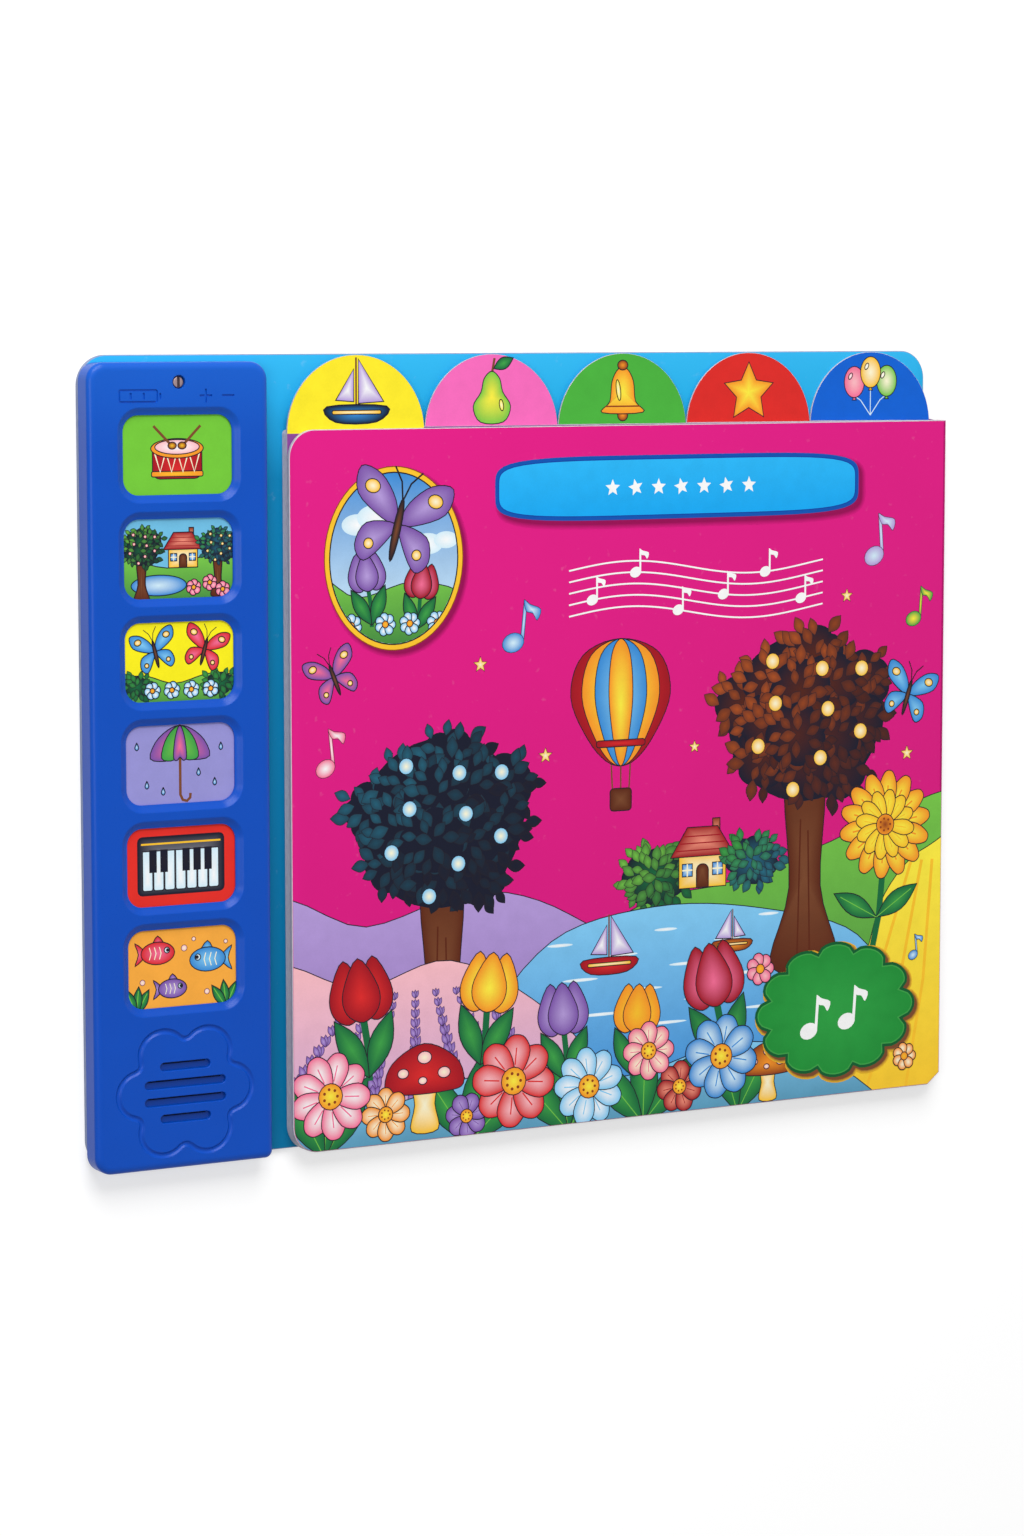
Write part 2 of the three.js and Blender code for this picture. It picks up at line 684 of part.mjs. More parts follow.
// The small slotted screw in the module's face that holds the tray.
function makeTrayScrew() {
  const headFoot = trayScrewTop - SCREW_HEAD_H;
  const screw = toSolid(turned([
    [0, trayScrewTip], [SCREW_R, trayScrewTip + SCREW_R], [SCREW_R, headFoot],
    [SCREW_HEAD_R, headFoot], [SCREW_HEAD_R, trayScrewTop], [0, trayScrewTop],
  ], moduleMidX, screwY, 20));
  const slot = bar(moduleMidX - SCREW_SLOT_W / 2, screwY - SCREW_HEAD_R - OVERRUN,
    moduleMidX + SCREW_SLOT_W / 2, screwY + SCREW_HEAD_R + OVERRUN,
    trayScrewTop - SCREW_SLOT_DEPTH, trayScrewTop + OVERRUN);
  return toGeometry(screw.subtract(toSolid(slot)));
}

function makeCell(x) {
  return turned([
    [0, cellBottom], [CELL_R, cellBottom], [CELL_R, cellTop - CELL_BEVEL],
    [CELL_R - CELL_BEVEL, cellTop], [0, cellTop],
  ], x, cellY, 16);
}

// A flat spring-metal strip that joins the cells and reaches down to the circuit board.
function makeContact(z0, tailX) {
  const y0 = cellY - CONTACT_W / 2;
  const y1 = cellY + CONTACT_W / 2;
  const strip = toSolid(bar(cellXs[0] - CELL_R / 2, y0, cellXs[2] + CELL_R / 2, y1, z0, z0 + CONTACT_T));
  const tail = bar(tailX - CONTACT_W / 2, pcbYTop - CONTACT_TAIL, tailX + CONTACT_W / 2, y1,
    z0, z0 + CONTACT_T);
  return toGeometry(strip.add(toSolid(tail)));
}

// The strips of tape between the casing and the back board, one at each end.
function makeTape(y) {
  return bar(moduleLeft + TAPE_SIDE, y - TAPE_W / 2, moduleRight - TAPE_SIDE, y + TAPE_W / 2,
    boardTop, shellFoot);
}

// A short lead from the circuit board's end to the loudspeaker's rim.
function makeLead(x) {
  const z = pcbTop + LEAD_R + SEAT_GAP;
  const rimY = grilleMidY + Math.sqrt(SPEAKER_R ** 2 - (x - moduleMidX) ** 2) + GAP;
  const tailY = pcbYBottom + LEAD_TAIL;
  const lead = new THREE.CylinderGeometry(LEAD_R, LEAD_R, tailY - rimY, LEAD_SIDES);
  lead.translate(x, (tailY + rimY) / 2, z);
  return lead;
}

addPart('back_board', makeBackBoard(), FINISHES.boardBlue);
addPart('page_block', makePageBlock(), FINISHES.pages);
addPart('spine_strip', makeSpineStrip(), FINISHES.spinePink);
addPart('front_cover', makeFrontCover(), FINISHES.coverPink);
addPart('module_front_shell', makeFrontShell(), FINISHES.casing);
addPart('module_back_plate', makeBackPlate(), FINISHES.casing);
addPart('circuit_board', makeCircuitBoard(), FINISHES.circuit);
addPart('sound_chip', makeChip(), FINISHES.chip);
addPart('speaker_frame', makeSpeakerFrame(), FINISHES.steel);
addPart('speaker_cone', makeSpeakerCone(), FINISHES.cone);
addPart('speaker_magnet', makeMagnet(), FINISHES.magnet);
addPart('battery_tray', makeBatteryTray(), FINISHES.casing);
addPart('battery_tray_screw', makeTrayScrew(), FINISHES.brass);
addPart('speaker_lead_red', makeLead(moduleMidX - LEAD_PITCH / 2), FINISHES.leadRed);
addPart('speaker_lead_black', makeLead(moduleMidX + LEAD_PITCH / 2), FINISHES.leadBlack);
for (let i = 0; i < BUTTON_COUNT; i += 1) {
  const y = firstWindowY - i * windowPitch;
  addPart(`button_key_${i + 1}`, makeKey(y), FINISHES.key);
  addPart(`button_label_${i + 1}`, makeLabel(y), finish(LABEL_COLOURS[i % LABEL_COLOURS.length], 0.35));
  addPart(`rubber_dome_${i + 1}`, makeDome(y), FINISHES.rubber);
}
cellXs.forEach((x, i) => addPart(`button_cell_${i + 1}`, makeCell(x), FINISHES.steel));
addPart('battery_contact', makeContact(plateTop, moduleMidX - cellOffset), FINISHES.brass);
bossXs.forEach((x, i) => {
  bossYs.forEach((y, j) => addPart(`case_screw_${2 * i + j + 1}`, makeCaseScrew(x, y), FINISHES.steel));
});
addPart('module_tape_upper', makeTape(moduleTop - TAPE_END), FINISHES.tape);
addPart('module_tape_lower', makeTape(moduleBottom + TAPE_END), FINISHES.tape);

export default book;
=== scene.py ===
"""Looks of the sound book: card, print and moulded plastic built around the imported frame."""

from __future__ import annotations

import json
import logging
import math
import random
from dataclasses import dataclass
from enum import Enum
from typing import Any, Callable, Sequence

import bmesh
import bpy
from mathutils import Matrix, Vector

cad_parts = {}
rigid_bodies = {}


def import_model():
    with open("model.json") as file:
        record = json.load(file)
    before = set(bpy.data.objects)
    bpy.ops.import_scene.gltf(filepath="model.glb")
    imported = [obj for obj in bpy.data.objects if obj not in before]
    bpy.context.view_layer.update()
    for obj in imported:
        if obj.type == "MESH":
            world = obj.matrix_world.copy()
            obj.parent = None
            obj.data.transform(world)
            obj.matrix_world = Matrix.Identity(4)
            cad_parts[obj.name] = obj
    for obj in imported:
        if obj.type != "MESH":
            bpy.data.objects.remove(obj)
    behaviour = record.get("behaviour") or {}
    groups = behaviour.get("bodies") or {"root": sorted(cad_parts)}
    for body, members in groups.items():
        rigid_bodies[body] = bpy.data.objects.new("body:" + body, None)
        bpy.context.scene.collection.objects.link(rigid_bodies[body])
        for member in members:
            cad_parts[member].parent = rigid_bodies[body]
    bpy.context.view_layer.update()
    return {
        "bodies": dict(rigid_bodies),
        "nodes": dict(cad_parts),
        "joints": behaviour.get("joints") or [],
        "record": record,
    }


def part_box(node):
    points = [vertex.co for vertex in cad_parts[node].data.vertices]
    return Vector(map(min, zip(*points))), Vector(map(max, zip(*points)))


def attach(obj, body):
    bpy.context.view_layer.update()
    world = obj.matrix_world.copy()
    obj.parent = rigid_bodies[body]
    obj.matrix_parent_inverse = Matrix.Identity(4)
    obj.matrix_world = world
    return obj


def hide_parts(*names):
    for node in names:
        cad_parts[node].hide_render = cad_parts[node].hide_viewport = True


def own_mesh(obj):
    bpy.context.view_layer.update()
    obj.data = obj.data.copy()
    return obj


LOG = logging.getLogger("sound_book")
MM = 0.001
INK_LAYER = "ink"

Point = tuple[float, float]
Colour = tuple[float, float, float]
Stops = tuple[tuple[float, Colour], ...]


def srgb(red: float, green: float, blue: float) -> Colour:
    """Turns a 0 to 255 screen colour into linear light.

    Args:
        red: Red, 0 to 255.
        green: Green, 0 to 255.
        blue: Blue, 0 to 255.

    Returns:
        The linear colour.
    """
    def one(value: float) -> float:
        """Linear light of one channel."""
        share = value / 255
        return share / 12.92 if share <= 0.04045 else ((share + 0.055) / 1.055) ** 2.4
    return one(red), one(green), one(blue)


def blend(first: Colour, second: Colour, share: float) -> Colour:
    """A colour the given share of the way from the first to the second."""
    return tuple(a + (b - a) * share for a, b in zip(first, second))


class Hue(Enum):
    """The inks of the print and the colours of the boards, as linear light."""

    PINK = srgb(221, 26, 131)
    DEEP_PINK = srgb(172, 14, 102)
    SHADOW_PINK = srgb(150, 8, 84)
    PILL = srgb(22, 168, 242)
    PILL_LIT = srgb(44, 184, 248)
    PILL_LINE = srgb(14, 66, 160)
    PILL_RIM = srgb(12, 84, 176)
    PANEL = srgb(32, 142, 56)
    PANEL_LIT = srgb(46, 160, 68)
    PANEL_RIM = srgb(6, 88, 44)
    INK = srgb(26, 22, 34)
    NIGHT = srgb(14, 18, 38)
    TEAL = srgb(38, 104, 128)
    LEAF = srgb(62, 160, 72)
    LEAF_DARK = srgb(22, 104, 60)
    GRASS = srgb(120, 198, 74)
    BROWN = srgb(142, 62, 26)
    BROWN_DARK = srgb(88, 34, 14)
    RUST = srgb(186, 88, 38)
    BARK = srgb(122, 72, 44)
    ORANGE = srgb(248, 150, 42)
    GOLD = srgb(252, 196, 48)
    YELLOW = srgb(253, 238, 70)
    CREAM = srgb(255, 248, 214)
    RED = srgb(222, 44, 44)
    RED_DARK = srgb(160, 20, 34)
    ROSE = srgb(246, 112, 152)
    BLUSH = srgb(252, 190, 196)
    CORAL = srgb(244, 146, 124)
    PURPLE = srgb(124, 84, 168)
    LILAC = srgb(182, 156, 218)
    SKY = srgb(132, 204, 244)
    LAKE = srgb(58, 140, 214)
    ICE = srgb(214, 240, 252)
    WHITE = srgb(252, 252, 252)
    GREY = srgb(150, 150, 160)
    TAB_YELLOW = srgb(253, 234, 44)
    TAB_PINK = srgb(246, 108, 188)
    TAB_GREEN = srgb(74, 176, 62)
    TAB_RED = srgb(220, 44, 40)
    TAB_BLUE = srgb(16, 98, 210)


class Axis(Enum):
    """The coordinates of a surface point that a finish follows."""

    Y = "Y"
    Z = "Z"


# Shader maths


class Value:
    """A shader socket that takes Python's arithmetic and adds Math nodes."""

    def __init__(self, tree: bpy.types.NodeTree, socket: bpy.types.NodeSocket) -> None:
        """Wraps a socket of the tree."""
        self.tree = tree
        self.socket = socket

    def _math(self, operation: str, *operands: Value | float) -> Value:
        """Adds one Math node.

        Args:
            operation: The node's operation.
            operands: Values or numbers, in order.

        Returns:
            The node's result.
        """
        node = self.tree.nodes.new("ShaderNodeMath")
        node.operation = operation
        for socket, operand in zip(node.inputs, operands):
            if isinstance(operand, Value):
                self.tree.links.new(operand.socket, socket)
            else:
                socket.default_value = operand
        return Value(self.tree, node.outputs[0])

    def __add__(self, other: Value | float) -> Value:
        """Sum."""
        return self._math("ADD", self, other)

    def __radd__(self, other: float) -> Value:
        """Sum with a number first."""
        return self._math("ADD", other, self)

    def __sub__(self, other: Value | float) -> Value:
        """Difference."""
        return self._math("SUBTRACT", self, other)

    def __rsub__(self, other: float) -> Value:
        """Difference with a number first."""
        return self._math("SUBTRACT", other, self)

    def __mul__(self, other: Value | float) -> Value:
        """Product."""
        return self._math("MULTIPLY", self, other)

    def __rmul__(self, other: float) -> Value:
        """Product with a number first."""
        return self._math("MULTIPLY", other, self)

    def __truediv__(self, other: Value | float) -> Value:
        """Quotient."""
        return self._math("DIVIDE", self, other)

    def wave(self) -> Value:
        """Sine."""
        return self._math("SINE", self)

    def clamped(self) -> Value:
        """The value held between 0 and 1."""
        held = self._math("MAXIMUM", self, 0.0)
        return held._math("MINIMUM", held, 1.0)


class Nodes:
    """A node tree of a material or of the world."""

    def __init__(self, tree: bpy.types.NodeTree) -> None:
        """Works on the given tree."""
        self.tree = tree

    def node(self, kind: str, settings: dict[str, Any] | None = None,
             inputs: dict[str, Any] | None = None) -> bpy.types.Node:
        """Adds any node.

        Args:
            kind: The node's type.
            settings: Its properties, set first.
            inputs: Its sockets' values or links, by name or number.

        Returns:
            The node.
        """
        made = self.tree.nodes.new(kind)
        for key, value in (settings or {}).items():
            setattr(made, key, value)
        for key, value in (inputs or {}).items():
            self.put(made.inputs[key], value)
        return made

    def put(self, socket: bpy.types.NodeSocket, value: Any) -> None:
        """Links or sets one socket."""
        if isinstance(value, Value):
            self.tree.links.new(value.socket, socket)
        elif isinstance(value, bpy.types.NodeSocket):
            self.tree.links.new(value, socket)
        elif isinstance(value, tuple) and len(value) == 3 and socket.type == "RGBA":
            socket.default_value = (*value, 1.0)
        else:
            socket.default_value = value

    def background_rays(self) -> Value:
        """1 for the rays that show the background, straight, in a gloss or through glass."""
        path = self.node("ShaderNodeLightPath").outputs
        rays = (Value(self.tree, path[f"Is {kind} Ray"]) for kind in ("Camera", "Glossy", "Transmission"))
        return sum(rays, 0.0).clamped()

    def mix(self, share: Value | float, first: Any, second: Any, kind: str = "MIX") -> bpy.types.NodeSocket:
        """Mixes two colours.

        Args:
            share: How far towards the second.
            first: A colour or a link.
            second: A colour or a link.
            kind: How they blend.

        Returns:
            The mixed colour's socket.
        """
        settings = {"data_type": "RGBA", "blend_type": kind}
        return self.node("ShaderNodeMix", settings, {0: share, 6: first, 7: second}).outputs[2]

    def shade(self, colour: Any, amount: Value) -> bpy.types.NodeSocket:
        """Multiplies a colour by a grey value."""
        grey = self.node("ShaderNodeCombineColor", inputs={"Red": amount, "Green": amount, "Blue": amount})
        return self.mix(1.0, colour, grey.outputs[0], "MULTIPLY")


class Shader(Nodes):
    """One material's node tree, built from named finishes."""

    def __init__(self, name: str) -> None:
        """Makes an empty Principled material of that name."""
        self.material = bpy.data.materials.new(name)
        self.material.use_nodes = True
        super().__init__(self.material.node_tree)
        self.surface = self.tree.nodes["Principled BSDF"]

    def place(self) -> bpy.types.NodeSocket:
        """The surface point in the object's own coordinates, in metres."""
        return self.node("ShaderNodeTexCoord").outputs["Object"]

    def along(self, axis: Axis) -> Value:
        """One coordinate of the surface point."""
        parts = self.node("ShaderNodeSeparateXYZ", inputs={"Vector": self.place()})
        return Value(self.tree, parts.outputs[axis.value])

    def rise(self, stops: Stops) -> Any:
        """A colour that changes up the page.

        Args:
            stops: Heights in millimetres with their colours, from the lowest.

        Returns:
            The colour's socket, or the colour itself where there is one stop.
        """
        height = self.along(Axis.Y)
        colour: Any = stops[0][1]
        for (low, _), (high, higher) in zip(stops, stops[1:]):
            share = ((height - low * MM) / ((high - low) * MM)).clamped()
            colour = self.mix(share, colour, higher)
        return colour

    def noise(self, size_mm: float, detail: float = 3.0, stretch: Colour = (1, 1, 1)) -> Value:
        """Noise of a feature size.

        Args:
            size_mm: The size of one blotch or grain.
            detail: Finer octaves.
            stretch: Scale of the noise along each axis.

        Returns:
            A value round 0.5.
        """
        scaled = self.node("ShaderNodeVectorMath", {"operation": "MULTIPLY"}, {0: self.place(), 1: stretch})
        made = self.node("ShaderNodeTexNoise", {"noise_dimensions": "3D"},
                         {"Vector": scaled.outputs[0], "Scale": 1 / (size_mm * MM), "Detail": detail})
        return Value(self.tree, made.outputs["Fac"])

    def bump(self, height: Value, depth_mm: float, strength: float = 1.0) -> bpy.types.NodeSocket:
        """A normal bent by a height field of the given depth."""
        inputs = {"Strength": strength, "Distance": depth_mm * MM, "Height": height}
        return self.node("ShaderNodeBump", inputs=inputs).outputs["Normal"]

    def set(self, **sockets: Any) -> bpy.types.Material:
        """Fills sockets of the surface, named with underscores for blanks.

        Args:
            sockets: Values or links.

        Returns:
            The finished material.
        """
        for key, value in sockets.items():
            self.put(self.surface.inputs[key.replace("_", " ")], value)
        return self.material


# Finishes


@dataclass(frozen=True)
class PrintedInk:
    """Ink on card: the colour that each face carries, softly mottled under a clear film."""

    name: str
    roughness: float = 0.42
    mottle: float = 0.09

    def make(self) -> bpy.types.Material:
        """Builds the material."""
        shader = Shader(self.name)
        ink = shader.node("ShaderNodeAttribute", {"attribute_name": INK_LAYER}).outputs["Color"]
        wash = shader.noise(5.0, 4.0)
        grain = shader.noise(0.5, 2.0)
        amount = 1.0 + (wash - 0.5) * (2 * self.mottle) + (grain - 0.5) * self.mottle
        return shader.set(
            Base_Color=shader.shade(ink, amount),
            Roughness=self.roughness + (wash - 0.5) * 0.12,
            Specular_IOR_Level=0.14,
            Normal=shader.bump(grain, 0.01, 0.4),
        )


@dataclass(frozen=True)
class FilmedCard:
    """Printed card under a clear film, with a faint wave of the board and scuffs."""

    name: str
    stops: Stops
    roughness: float = 0.42

    def make(self) -> bpy.types.Material:
        """Builds the material."""
        shader = Shader(self.name)
        wash = shader.noise(30.0, 2.0)
        grain = shader.noise(0.6, 2.0)
        scuff = ((shader.noise(3.0, 5.0) - 0.66) * 6.0).clamped()
        worn = shader.mix(scuff * 0.08, shader.rise(self.stops), Hue.WHITE.value)
        return shader.set(
            Base_Color=shader.shade(worn, 0.97 + wash * 0.06),
            Roughness=self.roughness + scuff * 0.15 + (grain - 0.5) * 0.08,
            Specular_IOR_Level=0.14,
            Normal=shader.bump(wash * 0.7 + grain * 0.05, 0.08, 0.25),
        )


@dataclass(frozen=True)
class CutCard:
    """The cut edge of pasteboard: pressed grey layers with a paler face on each side."""

    name: str
    pale: Colour
    dark: Colour
    layer_mm: float = 0.3

    def make(self) -> bpy.types.Material:
        """Builds the material."""
        shader = Shader(self.name)
        layers = (shader.along(Axis.Z) * (2 * math.pi / (self.layer_mm * MM))).wave() * 0.5 + 0.5
        fibre = shader.noise(0.8, 4.0, (0.35, 0.35, 2.5))
        share = (layers * 0.35 + fibre * 0.75).clamped()
        return shader.set(
            Base_Color=shader.mix(share, self.dark, self.pale),
            Roughness=0.72 + fibre * 0.1,
            Specular_IOR_Level=0.25,
            Normal=shader.bump(fibre, 0.12, 0.5),
        )


@dataclass(frozen=True)
class MouldedPlastic:
    """Coloured moulded plastic with a fine spark-eroded grain and a soft sheen."""

    name: str
    stops: Stops
    roughness: float = 0.3

    def make(self) -> bpy.types.Material:
        """Builds the material."""
        shader = Shader(self.name)
        grain = shader.noise(0.35, 2.0)
        flow = shader.noise(14.0, 3.0)
        rub = ((shader.noise(2.2, 5.0) - 0.62) * 5.0).clamped()
        return shader.set(
            Base_Color=shader.shade(shader.rise(self.stops), 0.95 + flow * 0.1),
            Roughness=self.roughness + (grain - 0.5) * 0.14 + rub * 0.1,
            Specular_IOR_Level=0.2,
            Normal=shader.bump(grain, 0.02, 0.35),
        )


@dataclass(frozen=True)
class BareMetal:
    """Plated metal with fine turning marks."""

    name: str
    colour: Colour
    roughness: float = 0.3

    def make(self) -> bpy.types.Material:
        """Builds the material."""
        shader = Shader(self.name)
        marks = shader.noise(0.25, 4.0, (1.0, 6.0, 1.0))
        tarnish = shader.noise(1.2, 4.0)
        return shader.set(
            Base_Color=shader.shade(self.colour, 0.8 + tarnish * 0.35),
            Metallic=1.0,
            Roughness=self.roughness + marks * 0.15,
            Normal=shader.bump(marks, 0.01, 0.4),
        )


@dataclass(frozen=True)
class PlainMaterial:
    """Rubber, resin, laminate or sleeve: one colour, clouded and slightly rough."""

    name: str
    colour: Colour
    roughness: float = 0.6
    grain_mm: float = 0.6

    def make(self) -> bpy.types.Material:
        """Builds the material."""
        shader = Shader(self.name)
        cloud = shader.noise(6.0, 4.0)
        grain = shader.noise(self.grain_mm, 2.0)
        return shader.set(
            Base_Color=shader.shade(self.colour, 0.86 + cloud * 0.28),
            Roughness=self.roughness + (grain - 0.5) * 0.2,
            Normal=shader.bump(grain, 0.03, 0.3),
        )


# Outlines, in millimetres


def around(cx: float, cy: float, rx: float, ry: float, angle: float) -> Point:
    """The point of an ellipse at an angle in radians."""
    return cx + rx * math.cos(angle), cy + ry * math.sin(angle)


def arc(cx: float, cy: float, r: float, start: float, end: float, steps: int) -> list[Point]:
    """Points along a circle from one angle to another, in degrees, both ends among them."""
    shares = [i / steps for i in range(steps + 1)] if steps else [0.0]
    return [around(cx, cy, r, r, math.radians(start + (end - start) * share)) for share in shares]


def ellipse(cx: float, cy: float, rx: float, ry: float, turn: float = 0.0, steps: int = 36) -> list[Point]:
    """Points round an ellipse.

    Args:
        cx: Centre.
        cy: Centre.
        rx: Half width.
        ry: Half height.
        turn: Tilt in degrees.
        steps: Number of points.

    Returns:
        The outline, anticlockwise.
    """
    return turned([around(cx, cy, rx, ry, 2 * math.pi * i / steps) for i in range(steps)], (cx, cy), turn)


def turned(points: Sequence[Point], about: Point, degrees: float) -> list[Point]:
    """The points turned about a centre."""
    c = math.cos(math.radians(degrees))
    s = math.sin(math.radians(degrees))
    ax, ay = about
    return [(ax + (x - ax) * c - (y - ay) * s, ay + (x - ax) * s + (y - ay) * c) for x, y in points]


def moved(points: Sequence[Point], x: float, y: float, scale: float = 1.0) -> list[Point]:
    """The points scaled about the origin and then moved."""
    return [(x + px * scale, y + py * scale) for px, py in points]


def mirrored(points: Sequence[Point]) -> list[Point]:
    """The points mirrored left to right, kept anticlockwise."""
    return [(-x, y) for x, y in reversed(points)]


def rounded_box(x0: float, y0: float, x1: float, y1: float, radii: Sequence[float],
                steps: int = 8) -> list[Point]:
    """A rectangle with its own radius at each corner.

    Args:
        x0: Left.
        y0: Bottom.
        x1: Right.
        y1: Top.
        radii: Bottom right, top right, top left and bottom left.
        steps: Points in each corner.

    Returns:
        The outline, anticlockwise.
    """
    corners = ((x1, y0, -1, 1, -90), (x1, y1, -1, -1, 0), (x0, y1, 1, -1, 90), (x0, y0, 1, 1, 180))
    made = []
    for (x, y, sx, sy, start), radius in zip(corners, radii):
        made += arc(x + sx * radius, y + sy * radius, radius, start, start + 90, steps if radius > 0 else 0)
    return made


def smooth(points: Sequence[Point], steps: int = 6) -> list[Point]:
    """A closed curve through the points.

    Args:
        points: Points that the curve passes through.
        steps: Pieces between two points.

    Returns:
        The outline.
    """
    n = len(points)
    made = []
    for i in range(n):
        p0, p1, p2, p3 = (points[(i + k - 1) % n] for k in range(4))
        for j in range(steps):
            t = j / steps
            made.append(tuple(
                0.5 * (2 * b + (c - a) * t + (2 * a - 5 * b + 4 * c - d) * t * t
                       + (3 * b - a - 3 * c + d) * t ** 3)
                for a, b, c, d in zip(p0, p1, p2, p3)))
    return made


def petal(x: float, y: float, length: float, width: float, degrees: float) -> list[Point]:
    """A petal or leaf that starts at a point and reaches out at an angle."""
    profile = [(0, 0), (0.3, -0.36), (0.68, -0.5), (0.94, -0.28), (1.0, 0), (0.94, 0.28), (0.68, 0.5),
               (0.3, 0.36)]
    return turned(smooth([(x + length * a, y + width * b) for a, b in profile], 3), (x, y), degrees)


def blade(x: float, y: float, length: float, width: float, degrees: float) -> list[Point]:
    """A pointed leaf that starts at a point and reaches out at an angle."""
    half = [(length * i / 8, width / 2 * math.sin(math.pi * i / 8)) for i in range(9)]
    low = [(px, -py) for px, py in half]
    outline = low + half[-2:0:-1]
    return turned([(x + px, y + py) for px, py in outline], (x, y), degrees)


def scalloped(cx: float, cy: float, rx: float, ry: float, lobes: int, depth: float,
              phase: float = 0.0) -> list[Point]:
    """An oval whose edge swells into round lobes.

    Args:
        cx: Centre.
        cy: Centre.
        rx: Half width.
        ry: Half height.
        lobes: How many lobes.
        depth: How deep the valleys cut, as a share of the size.
        phase: Where the first lobe lies, in lobes.

    Returns:
        The outline.
    """
    made = []
    steps = lobes * 8
    for i in range(steps):
        turn = i / steps
        swell = abs(math.sin(math.pi * (turn * lobes + phase))) ** 0.6
        scale = 1 - depth * (1 - swell)
        made.append(around(cx, cy, rx * scale, ry * scale, 2 * math.pi * turn))
    return made


def star(cx: float, cy: float, r: float, points: int = 5, waist: float = 0.45,
         turn: float = 90) -> list[Point]:
    """A star with its first point at the given angle."""
    made = []
    for i in range(2 * points):
        reach = r if i % 2 == 0 else r * waist
        made.append(around(cx, cy, reach, reach, math.radians(turn + 180 * i / points)))
    return made


def grown(points: Sequence[Point], amount: float) -> list[Point]:
    """The anticlockwise outline moved outwards, or inwards where the amount is negative.

    Args:
        points: The outline.
        amount: How far it moves.

    Returns:
        The new outline.
    """
    n = len(points)
    made = []
    for i in range(n):
        x0, y0 = points[i - 1]
        x1, y1 = points[i]
        x2, y2 = points[(i + 1) % n]
        first = Vector((y1 - y0, x0 - x1))
        second = Vector((y2 - y1, x1 - x2))
        if first.length > 1e-9:
            first.normalize()
        if second.length > 1e-9:
            second.normalize()
        middle = first + second
        if middle.length < 1e-6:
            middle = first
        middle.normalize()
        stretch = 1 / max(middle.dot(first), 0.5)
        made.append((x1 + middle.x * amount * stretch, y1 + middle.y * amount * stretch))
    return made


def centre_of(points: Sequence[Point]) -> Point:
    """The mean of the points."""
    return sum(p[0] for p in points) / len(points), sum(p[1] for p in points) / len(points)


Corner = tuple[float, float, Colour]


def clipped(corners: list[Corner], window: Sequence[Point]) -> list[Corner]:
    """Cuts a coloured polygon down to a convex window.

    Args:
        corners: The polygon's points with their colours.
        window: The convex outline, anticlockwise.

    Returns:
        What lies inside.
    """
    kept = corners
    for i, (ax, ay) in enumerate(window):
        bx, by = window[(i + 1) % len(window)]
        if not kept:
            return kept

        def side(corner: Corner, ax: float = ax, ay: float = ay, bx: float = bx, by: float = by) -> float:
            """How far the corner lies inside this edge."""
            return (bx - ax) * (corner[1] - ay) - (by - ay) * (corner[0] - ax)
        result = []
        for j, current in enumerate(kept):
            before = kept[j - 1]
            now, then = side(current), side(before)
            if (now >= 0) != (then >= 0):
                share = then / (then - now)
                result.append((before[0] + (current[0] - before[0]) * share,
                               before[1] + (current[1] - before[1]) * share,
                               blend(before[2], current[2], share)))
            if now >= 0:
                result.append(current)
        kept = result
    return kept


def tone(colour: Hue | Colour) -> Colour:
    """The linear colour of a named ink, or the colour itself."""
    return colour.value if isinstance(colour, Hue) else colour


@dataclass(frozen=True)
class Part:
    """One shape of a picture, in the picture's own units; a missing ink is the picture's tint."""

    points: Sequence[Point]
    rim: Hue | None = None
    heart: Hue | None = None
    width: float = 0.0


